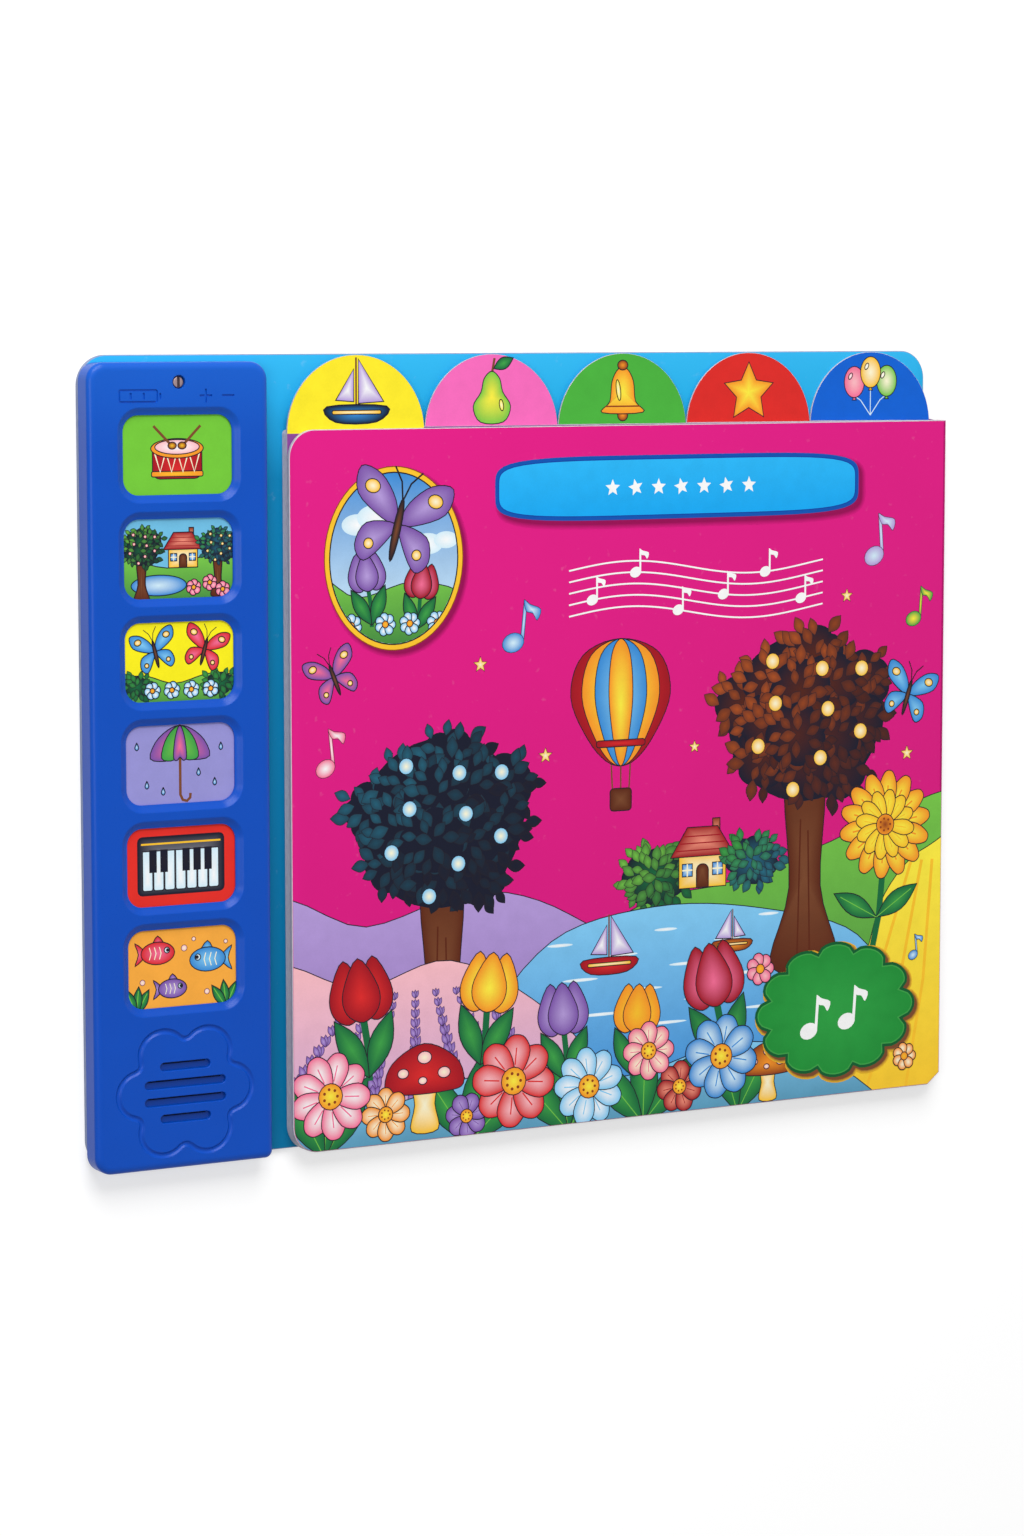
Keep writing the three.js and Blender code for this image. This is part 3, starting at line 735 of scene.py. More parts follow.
class Print:
    """Flat coloured shapes laid over one another on a card face, joined as one piece."""

    STEP_MM = 0.0015
    START_MM = 0.012
    CELL_MM = 2.0
    INK_MM = 0.3
    RINGS = (1.0, 0.76, 0.46)
    BANDS = 10
    SHADOW_STEPS = 5

    def __init__(self, origin: Point, height: float, window: Sequence[Point] | None = None,
                 flipped: bool = False) -> None:
        """Starts an empty print.

        Args:
            origin: Where the print's own zero lies in the book, in millimetres.
            height: The card face's height, in millimetres.
            window: The convex outline that the print keeps inside, in its own coordinates.
            flipped: True on a face that looks down.
        """
        self.origin = origin
        self.height = height
        self.window = window
        self.flipped = flipped
        self.tops: dict[tuple[int, int], int] = {}
        self.z = height
        self.faces: list[tuple[list[Corner], float]] = []

    def lay(self, outline: Sequence[Point]) -> None:
        """Sets the next shape's height, one step above all that lies under its box."""
        spans = [range(math.floor(min(side) / self.CELL_MM), math.floor(max(side) / self.CELL_MM) + 1)
                 for side in zip(*outline)]
        cells = [(i, j) for i in spans[0] for j in spans[1]]
        level = 1 + max(self.tops.get(cell, 0) for cell in cells)
        self.tops.update((cell, level) for cell in cells)
        self.z = self.height + (-1 if self.flipped else 1) * (self.START_MM + level * self.STEP_MM)

    def face(self, corners: list[Corner]) -> None:
        """Adds one polygon at the present height, cut to the window."""
        if self.window:
            corners = clipped(corners, self.window)
        if len(corners) > 2:
            self.faces.append((corners, self.z))

    def band(self, outer: Sequence[Point], inner: Sequence[Point], first: Colour, second: Colour) -> None:
        """Adds the strip between two outlines, from the first colour to the second."""
        for i in range(len(outer)):
            self.face([(*outer[i - 1], first), (*outer[i], first),
                       (*inner[i], second), (*inner[i - 1], second)])

    def flat(self, outline: Sequence[Point], colour: Hue | Colour) -> None:
        """Adds one shape of a single colour."""
        self.lay(outline)
        self.face([(x, y, tone(colour)) for x, y in outline])

    def edged(self, outline: Sequence[Point], ink: float | None, line: Hue) -> list[Point]:
        """Draws a shape's line.

        Args:
            outline: The shape, anticlockwise.
            ink: Width of the line, or None for the print's own.
            line: Its colour.

        Returns:
            What the line leaves inside.
        """
        width = self.INK_MM if ink is None else ink
        self.lay(outline)
        if width <= 0:
            return list(outline)
        inner = grown(outline, -width / 2)
        self.band(grown(outline, width / 2), inner, line.value, line.value)
        return inner

    def shaded(self, outline: Sequence[Point], rim: Hue | Colour, heart: Hue | Colour,
               ink: float | None = None, line: Hue = Hue.INK) -> None:
        """Adds a shape that changes from its rim to its heart, inside a line.

        Args:
            outline: The shape, anticlockwise.
            rim: Its colour at the edge.
            heart: Its colour in the middle.
            ink: Width of the line, or None for the print's own.
            line: Colour of the line.
        """
        inner = self.edged(outline, ink, line)
        fx, fy = centre_of(outline)
        tones = [blend(tone(heart), tone(rim), scale) for scale in self.RINGS]
        rings = [[(fx + (x - fx) * scale, fy + (y - fy) * scale) for x, y in inner] for scale in self.RINGS]
        for k in range(len(rings) - 1):
            self.band(rings[k], rings[k + 1], tones[k], tones[k + 1])
        last = rings[-1]
        for i in range(len(last)):
            self.face([(*last[i - 1], tones[-1]), (*last[i], tones[-1]), (fx, fy, tone(heart))])

    def risen(self, outline: Sequence[Point], low: Hue | Colour, high: Hue | Colour,
              ink: float | None = None, line: Hue = Hue.INK) -> None:
        """Adds a shape that changes from its foot to its top, inside a line.

        Args:
            outline: The shape, anticlockwise.
            low: Its colour at the foot.
            high: Its colour at the top.
            ink: Width of the line, or None for the print's own.
            line: Colour of the line.
        """
        inner = self.edged(outline, ink, line)
        xs, ys = zip(*inner)
        left, right, foot = min(xs), max(xs), min(ys)
        tall = max(ys) - foot
        corners = [(x, y, blend(tone(low), tone(high), (y - foot) / tall)) for x, y in inner]
        for k in range(self.BANDS):
            y0, y1 = foot + tall * k / self.BANDS, foot + tall * (k + 1) / self.BANDS
            self.face(clipped(corners, [(left, y0), (right, y0), (right, y1), (left, y1)]))

    def stroke(self, path: Sequence[Point], width: float, colour: Hue | Colour) -> None:
        """Adds a line of even width with square ends.

        Args:
            path: The points it passes through.
            width: Its width.
            colour: Its colour.
        """
        sides: list[list[Point]] = [[], []]
        for i, (x, y) in enumerate(path):
            x0, y0 = path[max(i - 1, 0)]
            x1, y1 = path[min(i + 1, len(path) - 1)]
            length = math.hypot(x1 - x0, y1 - y0) or 1.0
            nx, ny = -(y1 - y0) / length * width / 2, (x1 - x0) / length * width / 2
            sides[0].append((x + nx, y + ny))
            sides[1].append((x - nx, y - ny))
        self.lay(sides[0] + sides[1])
        left, right = sides
        for i in range(len(path) - 1):
            self.face([(*point, tone(colour)) for point in (right[i], right[i + 1], left[i + 1], left[i])])

    def picture(self, parts: Sequence[Part], x: float, y: float, r: float, rim: Hue | None = None,
                heart: Hue | None = None, turn: float = 0.0, ink: float | None = None,
                flip: bool = False) -> None:
        """Draws a picture.

        Args:
            parts: Its shapes, from the back.
            x: Where its own zero lies.
            y: Where its own zero lies.
            r: Millimetres to one of its units.
            rim: Its tint at the edges.
            heart: Its tint in the middle.
            turn: Its tilt in degrees.
            ink: Width of its lines, or None for the print's own.
            flip: Whether it faces the other way.
        """
        for part in parts:
            points = mirrored(part.points) if flip else part.points
            outline = turned(moved(points, x, y, r), (x, y), turn)
            if part.width:
                self.stroke(outline, part.width * r, part.rim or rim)
            else:
                self.shaded(outline, part.rim or rim, part.heart or heart, ink)

    def shadow(self, outline: Sequence[Point], ground: Colour, dark: Colour, drop: float) -> None:
        """Adds the soft shadow of a shape that seems to lie on the print.

        Args:
            outline: The shape.
            ground: The colour round it.
            dark: The shadow's deepest colour.
            drop: How far the shadow falls, to the right and down.
        """
        fallen = [(x + drop, y - drop) for x, y in outline]
        steps = self.SHADOW_STEPS
        for k in range(steps):
            self.flat(grown(fallen, drop * (1 - k / (steps - 1))), blend(ground, dark, (k + 1) / steps))

    def build(self, name: str, material: bpy.types.Material) -> bpy.types.Object:
        """Makes the print's mesh.

        Args:
            name: The piece's name.
            material: Its ink.

        Returns:
            The piece.
        """
        mesh = bmesh.new()
        layer = mesh.loops.layers.float_color.new(INK_LAYER)
        ox, oy = self.origin
        for corners, z in self.faces:
            ordered = list(reversed(corners)) if self.flipped else corners
            verts = [mesh.verts.new(((ox + x) * MM, (oy + y) * MM, z * MM)) for x, y, _ in ordered]
            for loop, corner in zip(mesh.faces.new(verts).loops, ordered):
                loop[layer] = (*corner[2], 1.0)
        return object_from(mesh, name, [material])


# Pictures, in their own units


def disc(x: float, y: float, r: float, ry: float | None = None, turn: float = 0.0) -> list[Point]:
    """A small round or oval spot."""
    return ellipse(x, y, r, ry or r, turn, 16)


def slab(x0: float, y0: float, x1: float, y1: float, r: float = 0.0) -> list[Point]:
    """A small rectangle with even corners."""
    return rounded_box(x0, y0, x1, y1, (r,) * 4, 3)


def pair(points: Sequence[Point]) -> tuple[list[Point], list[Point]]:
    """The outline and its mirror image."""
    return list(points), mirrored(points)


BUTTERFLY = (
    *(Part(wing) for wing in pair(smooth([(0.05, 0.1), (0.35, 0.1), (0.95, 0.45), (1.0, 0.95), (0.55, 0.9),
                                          (0.15, 0.5)], 4))),
    *(Part(wing) for wing in pair(smooth([(0.05, 0.05), (0.2, -0.35), (0.55, -0.75), (0.8, -0.5),
                                          (0.65, -0.05)], 4))),
    *(Part(disc(side * 0.68, 0.64, 0.16, 0.13), Hue.GOLD, Hue.CREAM) for side in (-1, 1)),
    *(Part(disc(side * 0.52, -0.42, 0.1), Hue.GOLD, Hue.CREAM) for side in (-1, 1)),
    *(Part([(0.0, 0.5), (side * 0.1, 0.85), (side * 0.3, 1.1)], Hue.INK, None, 0.035) for side in (-1, 1)),
    Part(disc(0, -0.05, 0.08, 0.6), Hue.INK, Hue.BARK),
)
NOTE = (
    Part([(0.5, 0.1), (0.74, 0.1), (0.74, 2.6), (0.5, 2.6)]),
    Part(smooth([(0.72, 2.0), (1.2, 1.9), (1.55, 1.5), (1.75, 2.2), (0.95, 2.45), (0.5, 2.7)], 3)),
    Part(disc(0, 0, 0.78, 0.6, 22)),
)
TULIP = (
    Part([(0, -0.8), (0.06, -1.7), (0, -2.8)], Hue.LEAF_DARK, None, 0.24),
    *(Part(blade(0, -2.7, 2.2, 0.8, 90 + side * 27), Hue.LEAF_DARK, Hue.LEAF) for side in (-1, 1)),
    *(Part([(px * wide + offset, py) for px, py in
            smooth([(-0.5, -0.6), (0.0, -0.95), (0.5, -0.6), (0.55, 0.1), (0.0, 1.05), (-0.55, 0.1)], 4)])
      for offset, wide in ((-0.5, 1.0), (0.5, 1.0), (0.0, 1.1))),
)
TOADSTOOL = (
    Part(smooth([(-0.34, 0), (0.34, 0), (0.26, 0.6), (0.3, 1.15), (-0.3, 1.15), (-0.26, 0.6)], 4),
         Hue.GOLD, Hue.CREAM),
    Part(smooth([(-1.0, 1.0), (-0.5, 0.86), (0.5, 0.86), (1.0, 1.0), (0.82, 1.6), (0.0, 2.0),
                 (-0.82, 1.6)], 5)),
    *(Part(disc(px, py, pr, pr * 0.8), Hue.BLUSH, Hue.CREAM)
      for px, py, pr in ((-0.55, 1.35, 0.14), (0.0, 1.68, 0.18), (0.5, 1.3, 0.16), (-0.05, 1.15, 0.11))),
)
AIR_BALLOON = (
    *(Part([(side * 0.2, -1.1), (side * 0.17, -1.62)], Hue.BARK, None, 0.03) for side in (-1, 0, 1)),
    *(Part([(px * wide, py) for px, py in
            smooth([(0, 1.05), (0.78, 0.78), (1.02, 0.05), (0.66, -0.72), (0.22, -1.15), (-0.22, -1.15),
                    (-0.66, -0.72), (-1.02, 0.05), (-0.78, 0.78)][::-1], 5)], rim, heart)
      for wide, rim, heart in ((1.0, Hue.RED_DARK, Hue.RED), (0.78, Hue.ORANGE, Hue.YELLOW),
                               (0.52, Hue.LAKE, Hue.SKY), (0.24, Hue.ORANGE, Hue.YELLOW))),
    Part(slab(-0.5, -0.86, 0.5, -0.74, 0.05), Hue.RED_DARK, Hue.RED),
    Part(slab(-0.22, -2.0, 0.22, -1.6, 0.07), Hue.BROWN_DARK, Hue.BARK),
)
BOAT = (
    Part([(0, 0), (0, 1.75)], Hue.BARK, None, 0.06),
    Part([(0.08, 0.35), (0.95, 0.4), (0.08, 1.7)], Hue.LILAC, Hue.WHITE),
    Part([(-0.08, 0.4), (-0.08, 1.4), (-0.7, 0.45)], Hue.LILAC, Hue.WHITE),
    Part(smooth([(-1.0, 0.26), (-0.7, -0.22), (0.7, -0.22), (1.05, 0.26)], 4)),
    Part(slab(-0.82, 0.02, 0.86, 0.14, 0.05), Hue.GOLD, Hue.CREAM),
)
PEAR = (
    Part([(0, 0.9), (0.12, 1.5)], Hue.BARK, None, 0.1),
    Part(blade(0.08, 1.1, 0.95, 0.45, 25), Hue.LEAF_DARK, Hue.LEAF),
    Part(smooth([(0, 1.0), (-0.34, 0.72), (-0.48, 0.2), (-0.82, -0.35), (-0.5, -0.95), (0.5, -0.95),
                 (0.82, -0.35), (0.48, 0.2), (0.34, 0.72)], 4), Hue.GRASS, Hue.YELLOW),
    Part(disc(0.42, -0.3, 0.09, 0.22, 10), Hue.YELLOW, Hue.CREAM),
)
BELL = (
    Part(disc(0, -0.85, 0.24), Hue.BROWN, Hue.ORANGE),
    Part(smooth([(-0.2, 1.0), (-0.5, 0.5), (-0.6, -0.3), (-0.95, -0.75), (0.95, -0.75), (0.6, -0.3),
                 (0.5, 0.5), (0.2, 1.0)], 4), Hue.ORANGE, Hue.YELLOW),
    Part([(-0.8, -0.5), (0.8, -0.5)], Hue.BROWN, None, 0.06),
    Part(disc(-0.2, 0.15, 0.1, 0.42, 8), Hue.YELLOW, Hue.CREAM),
    Part(disc(0, 1.15, 0.24, 0.2), Hue.BROWN, Hue.ORANGE),
)
PARTY_BALLOONS = tuple(
    part for px, py, rim, heart in ((-1.0, 1.7, Hue.ROSE, Hue.BLUSH), (1.0, 1.75, Hue.GRASS, Hue.CREAM),
                                    (0.0, 2.2, Hue.GOLD, Hue.CREAM))
    for part in (Part([(0, 0), (px * 0.6, py * 0.45), (px, py - 0.7)], Hue.ICE, None, 0.05),
                 Part([(px - 0.12, py - 0.92), (px + 0.12, py - 0.92), (px, py - 0.7)], rim, rim),
                 Part(ellipse(px, py, 0.62, 0.8, steps=24), rim, heart),
                 Part(disc(px - 0.24, py + 0.3, 0.1, 0.18, -30), heart, Hue.WHITE))
)
DRUM = (
    Part(rounded_box(-1, -0.7, 1, 0.4, (0.3, 0, 0, 0.3), 4), Hue.RED_DARK, Hue.RED),
    Part(slab(-1.04, -0.62, 1.04, -0.42, 0.06), Hue.ORANGE, Hue.GOLD),
    *(Part([(-0.92 + 0.46 * i, 0.3), (-0.69 + 0.46 * i, -0.45), (-0.46 + 0.46 * i, 0.3)],
           Hue.CREAM, None, 0.06) for i in range(4)),
    Part(ellipse(0, 0.42, 1.06, 0.36), Hue.ORANGE, Hue.GOLD),
    Part(ellipse(0, 0.47, 0.9, 0.27), Hue.BLUSH, Hue.WHITE),
    *(part for side in (-1, 1)
      for part in (Part([(side * 0.2, 0.5), (side * 0.95, 1.25)], Hue.BARK, None, 0.1),
                   Part(disc(side * 0.2, 0.52, 0.17, 0.13), Hue.BROWN, Hue.GOLD))),
)
COTTAGE = (
    Part(slab(0.3, 0.5, 0.52, 1.15), Hue.BROWN, Hue.CORAL),
    Part(slab(-0.7, -0.6, 0.7, 0.3), Hue.GOLD, Hue.CREAM),
    Part([(-0.95, 0.2), (0.95, 0.2), (0.45, 0.95), (-0.45, 0.95)], Hue.RED_DARK, Hue.CORAL),
    *(Part([(-0.78 + 0.12 * k, 0.36 + 0.18 * k), (0.78 - 0.12 * k, 0.36 + 0.18 * k)],
           Hue.RED_DARK, None, 0.03) for k in range(3)),
    Part(rounded_box(-0.18, -0.6, 0.18, 0.0, (0, 0.16, 0.16, 0), 4), Hue.BROWN_DARK, Hue.BARK),
    *(part for side in (-0.45, 0.45)
      for part in (Part(slab(side - 0.15, -0.3, side + 0.15, 0.02), Hue.LAKE, Hue.ICE),
                   Part([(side, -0.3), (side, 0.02)], Hue.CREAM, None, 0.04),
                   Part([(side - 0.15, -0.14), (side + 0.15, -0.14)], Hue.CREAM, None, 0.04))),
)
RAINDROP = (
    Part(smooth([(0, -1.0), (0.6, -0.3), (0.1, 1.0), (-0.1, 1.0), (-0.6, -0.3)], 3), Hue.LAKE, Hue.ICE),
)
UMBRELLA = (
    Part([(0, 0), (0, -1.15), (0.08, -1.32), (0.22, -1.36), (0.33, -1.26), (0.34, -1.12)],
         Hue.BARK, None, 0.09),
    Part([(0, 0.9), (0, 1.14)], Hue.BARK, None, 0.08),
    *(Part(smooth([(-wide, 0), (-wide * 0.5, -0.1), (0, 0), (wide * 0.5, -0.1), (wide, 0), (wide * 0.82, 0.5),
                   (wide * 0.4, 0.86), (0, 0.98), (-wide * 0.4, 0.86), (-wide * 0.82, 0.5)], 3), rim, heart)
      for wide, rim, heart in ((1.0, Hue.PURPLE, Hue.ROSE), (0.62, Hue.LEAF, Hue.GRASS),
                               (0.22, Hue.PURPLE, Hue.ROSE))),
)
PIANO = (
    Part(slab(-1.52, -0.9, 1.52, 0.98, 0.16), Hue.NIGHT, Hue.GREY),
    *(Part(rounded_box(-1.35 + 0.388 * i, -0.76, -1.0 + 0.388 * i, 0.52, (0.06, 0, 0, 0.06), 2),
           Hue.ICE, Hue.WHITE) for i in range(7)),
    *(Part(slab(-1.1 + 0.388 * i, -0.16, -0.87 + 0.388 * i, 0.54), Hue.NIGHT, Hue.INK)
      for i in (0, 1, 3, 4, 5)),
    Part([(-1.4, 0.75), (1.4, 0.75)], Hue.GOLD, None, 0.06),
)
FISH = (
    Part(smooth([(-0.7, 0), (-1.35, 0.62), (-1.15, 0), (-1.35, -0.62)], 3)),
    Part(smooth([(-0.3, 0.4), (0.4, 0.4), (0.0, 0.95)], 3)),
    Part(ellipse(0, 0, 1.0, 0.62, steps=26)),
    *(Part([(0.1 - 0.3 * k, 0.34), (0.2 - 0.3 * k, 0), (0.1 - 0.3 * k, -0.34)], Hue.CREAM, None, 0.05)
      for k in range(3)),
    Part(disc(0.55, 0.14, 0.16), Hue.ICE, Hue.WHITE),
    Part(disc(0.59, 0.14, 0.07), Hue.INK, Hue.INK),
)


@dataclass(frozen=True)
class Plants:
    """Flowers and foliage that repeat one outline many times."""

    art: Print
    spiral: float = 2.4
    clumps: int = 13
    fruits: int = 9
    large_flower: float = 6.0

    def daisy(self, x: float, y: float, r: float, rim: Hue, heart: Hue, eye: Hue, petals: int = 8,
              turn: float = 0.0) -> None:
        """An open flower of round petals.

        Args:
            x: Centre.
            y: Centre.
            r: Reach of the petals.
            rim: Petal colour at the edge.
            heart: Petal colour in the middle.
            eye: Colour of the flower's eye.
            petals: How many.
            turn: Angle of the first petal.
        """
        for i in range(petals):
            angle = turn + 360 * i / petals
            self.art.shaded(petal(x, y, r, r * 5.4 / petals, angle), rim, heart)
            if r > self.large_flower:
                vein = turned([(x + r * 0.35, y), (x + r * 0.72, y)], (x, y), angle)
                self.art.stroke(vein, r * 0.03, rim)
        self.art.shaded(disc(x, y, r * 0.3), Hue.ORANGE, eye)
        for i in range(7 if r > self.large_flower else 0):
            sx, sy = turned([(x + r * 0.17, y)], (x, y), 51.4 * i)[0]
            self.art.flat(disc(sx, sy, r * 0.035), Hue.BROWN)

    def fan(self, x: float, y: float, length: float, angles: Sequence[float], width: float = 0.36) -> None:
        """Pointed leaves with a middle vein that fan out from a point."""
        for angle in angles:
            self.art.shaded(blade(x, y, length, length * width, angle), Hue.LEAF_DARK, Hue.LEAF)
            tip = turned([(x + length * 0.85, y)], (x, y), angle)[0]
            self.art.stroke([(x, y), tip], 0.25, Hue.GRASS)

    def crown(self, x: float, y: float, rx: float, ry: float, leaves: int, dark: Hue | Colour,
              lit: Hue | Colour, size: float) -> None:
        """A round mass of leaves, laid from the rim inwards and lit from the upper left.

        Args:
            x: Centre.
            y: Centre.
            rx: Half width.
            ry: Half height.
            leaves: How many leaves.
            dark: Colour on the shaded side.
            lit: Colour on the lit side.
            size: A leaf's length as a share of the half width.
        """
        dice = random.Random(leaves + int(x))
        self.art.shaded(scalloped(x, y, rx * 0.9, ry * 0.9, 7, 0.1), Hue.NIGHT, dark, 0.0)
        for k in range(leaves):
            reach = math.sqrt(1 - (k + 0.5) / leaves)
            angle = self.spiral * k + dice.uniform(-0.3, 0.3)
            across, up = around(0, 0, reach, reach, angle)
            light = min(max(0.45 - 0.4 * across + 0.45 * up + dice.uniform(-0.16, 0.16), 0.0), 1.0)
            heart = blend(tone(dark), tone(lit), light)
            length = rx * size * dice.uniform(0.85, 1.2)
            foot = around(x, y, (reach - 0.14) * rx, (reach - 0.14) * ry, angle)
            leaf = blade(*foot, length, length * 0.6, math.degrees(angle) + dice.uniform(-32, 32))
            self.art.shaded(leaf, blend(Hue.INK.value, heart, 0.5), heart, 0.14)

    def tree(self, x: float, y: float, r: float, dark: Hue, lit: Hue, fruit: Hue, leaves: int = 26) -> None:
        """A round tree whose crown is centred at the point.

        Args:
            x: Centre of the crown.
            y: Centre of the crown.
            r: Half width of the crown.
            dark: Its shaded leaves.
            lit: Its lit leaves.
            fruit: Colour of its fruit.
            leaves: How many leaves each of its clumps has.
        """
        trunk = smooth([(-0.34, -2.2), (0.34, -2.2), (0.17, -1.5), (0.2, -0.5), (-0.2, -0.5),
                        (-0.16, -1.5)], 5)
        self.art.shaded(moved(trunk, x, y, r), Hue.BROWN_DARK, Hue.BARK)
        for side, top in ((-0.07, -0.9), (0.06, -1.0)):
            self.art.stroke([(x + side * r, y - 2.1 * r), (x + side * r * 0.6, y + top * r)], r * 0.016,
                            Hue.BROWN_DARK)
        self.art.shaded(ellipse(x, y, r * 0.8, r * 0.74), Hue.NIGHT, dark, 0.0)
        for i in range(self.clumps):
            reach = 0.66 * math.sqrt(1 - i / self.clumps)
            across, up = around(0, 0, reach, reach, self.spiral * i + 0.5)
            shade = min(max(0.5 - 0.5 * across + 0.6 * up, 0.0), 1.0)
            self.crown(x + across * r, y + up * r * 0.92, r * 0.36, r * 0.32, leaves,
                       blend(Hue.NIGHT.value, tone(dark), 0.4 + 0.6 * shade),
                       blend(tone(dark), tone(lit), 0.35 + 0.65 * shade), 2.3 / math.sqrt(leaves))
        for i in range(self.fruits):
            reach = 0.74 * r * math.sqrt((i + 1) / self.fruits)
            spot = disc(*around(x, y, reach, 0.92 * reach, math.radians(17 + 137.5 * i)), 0.07 * r)
            self.art.shaded(spot, fruit, Hue.CREAM, 0.2)


# Meshes


def object_from(mesh: bmesh.types.BMesh, name: str,
                materials: Sequence[bpy.types.Material]) -> bpy.types.Object:
    """Turns a bmesh into an object in the scene.

    Args:
        mesh: The mesh, freed here.
        name: The piece's name.
        materials: Its materials, in slot order.

    Returns:
        The object.
    """
    data = bpy.data.meshes.new(name)
    mesh.to_mesh(data)
    mesh.free()
    for material in materials:
        data.materials.append(material)
    made = bpy.data.objects.new(name, data)
    bpy.context.collection.objects.link(made)
    return made


class Slot(Enum):
    """Material slots of a card plate."""

    FACE = 0
    EDGE = 1
    BACK = 2


def add_stack(mesh: bmesh.types.BMesh, rings: Sequence[tuple[Sequence[Point], float]],
              slots: Sequence[int]) -> None:
    """Adds a closed solid through outlines of equal count, from the lowest to the highest.

    Args:
        mesh: The mesh to add to.
        rings: Outlines in millimetres, each with its height.
        slots: Material slots of the top, the sides and the underside.
    """
    loops = [[mesh.verts.new((x * MM, y * MM, z * MM)) for x, y in outline] for outline, z in rings]
    n = len(loops[0])
    for low, high in zip(loops, loops[1:]):
        for i in range(n):
            j = (i + 1) % n
            made = mesh.faces.new((low[i], low[j], high[j], high[i]))
            made.material_index = slots[Slot.EDGE.value]
            made.smooth = True
    top = mesh.faces.new(loops[-1])
    top.material_index = slots[Slot.FACE.value]
    bottom = mesh.faces.new(list(reversed(loops[0])))
    bottom.material_index = slots[Slot.BACK.value]


def plate_rings(outline: Sequence[Point], low: float, high: float,
                edge: float) -> list[tuple[list[Point], float]]:
    """Rings of a plate whose two rims are softened.

    Args:
        outline: Its outline.
        low: Its underside.
        high: Its face.
        edge: Radius of the softened rims.

    Returns:
        Rings from the lowest to the highest.
    """
    turns = [math.radians(30 * i) for i in range(4)]
    lower = [(grown(outline, -edge * (1 - math.sin(turn))), low + edge * (1 - math.cos(turn)))
             for turn in turns]
    upper = [(grown(outline, -edge * (1 - math.cos(turn))), high - edge * (1 - math.sin(turn)))
             for turn in turns]
    return lower + upper


def solid(name: str, *stacks: Sequence[tuple[Sequence[Point], float]]) -> bpy.types.Object:
    """Closed solids through rings, as one object without a finish."""
    mesh = bmesh.new()
    for rings in stacks:
        add_stack(mesh, rings, (0, 0, 0))
    return object_from(mesh, name, [])


def hoop(name: str, loops: Sequence[tuple[Sequence[Point], float]]) -> bpy.types.Object:
    """A closed ring whose section runs through the given loops, each an outline at its height."""
    mesh = bmesh.new()
    made = [[mesh.verts.new((x * MM, y * MM, z * MM)) for x, y in outline] for outline, z in loops]
    for k, loop in enumerate(made):
        before = made[k - 1]
        for i in range(len(loop)):
            mesh.faces.new((before[i - 1], before[i], loop[i], loop[i - 1]))
    bmesh.ops.recalc_face_normals(mesh, faces=mesh.faces)
    return object_from(mesh, name, [])


def sharpened(piece: bpy.types.Object, degrees: float = 35.0) -> None:
    """Shades a piece smooth, with its edges above an angle kept sharp."""
    piece.data.polygons.foreach_set("use_smooth", [True] * len(piece.data.polygons))
    piece.data.set_sharp_from_angle(angle=math.radians(degrees))


def applied(piece: bpy.types.Object) -> None:
    """Bakes a piece's modifiers into its mesh."""
    graph = bpy.context.evaluated_depsgraph_get()
    data = bpy.data.meshes.new_from_object(piece.evaluated_get(graph))
    old = piece.data
    piece.modifiers.clear()
    piece.data = data
    bpy.data.meshes.remove(old)


def cut_away(piece: bpy.types.Object, cutters: Sequence[bpy.types.Object]) -> None:
    """Cuts closed cutters out of a solid piece and deletes them.

    Args:
        piece: The solid.
        cutters: Closed solids.
    """
    for cutter in cutters:
        modifier = piece.modifiers.new("cut", "BOOLEAN")
        modifier.operation = "DIFFERENCE"
        modifier.solver = "EXACT"
        modifier.object = cutter
        applied(piece)
        bpy.data.objects.remove(cutter, do_unlink=True)


def two_toned(piece: bpy.types.Object, materials: Sequence[bpy.types.Material],
              second: Callable[[float, float, float], bool]) -> None:
    """Shades a cut solid and gives some of its faces the second material.

    Args:
        piece: The solid.
        materials: The two materials.
        second: Whether the face with this centre, in millimetres, takes the second one.
    """
    piece.data.materials.clear()
    for material in materials:
        piece.data.materials.append(material)
    sharpened(piece, 40)
    for face in piece.data.polygons:
        face.material_index = int(second(*(value / MM for value in face.center)))


@dataclass(frozen=True)
class Box:
    """A CAD node's box, in millimetres."""

    x0: float
    y0: float
    z0: float
    x1: float
    y1: float
    z1: float

    @classmethod
    def of(cls, node: str) -> Box:
        """The box of the node at rest."""
        low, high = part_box(node)
        return cls(*(value / MM for value in (*low, *high)))

    @property
    def mid(self) -> Point:
        """The middle in plan."""
        return (self.x0 + self.x1) / 2, (self.y0 + self.y1) / 2

    @property
    def w(self) -> float:
        """The width."""
        return self.x1 - self.x0

    @property
    def h(self) -> float:
        """The height in plan."""
        return self.y1 - self.y0


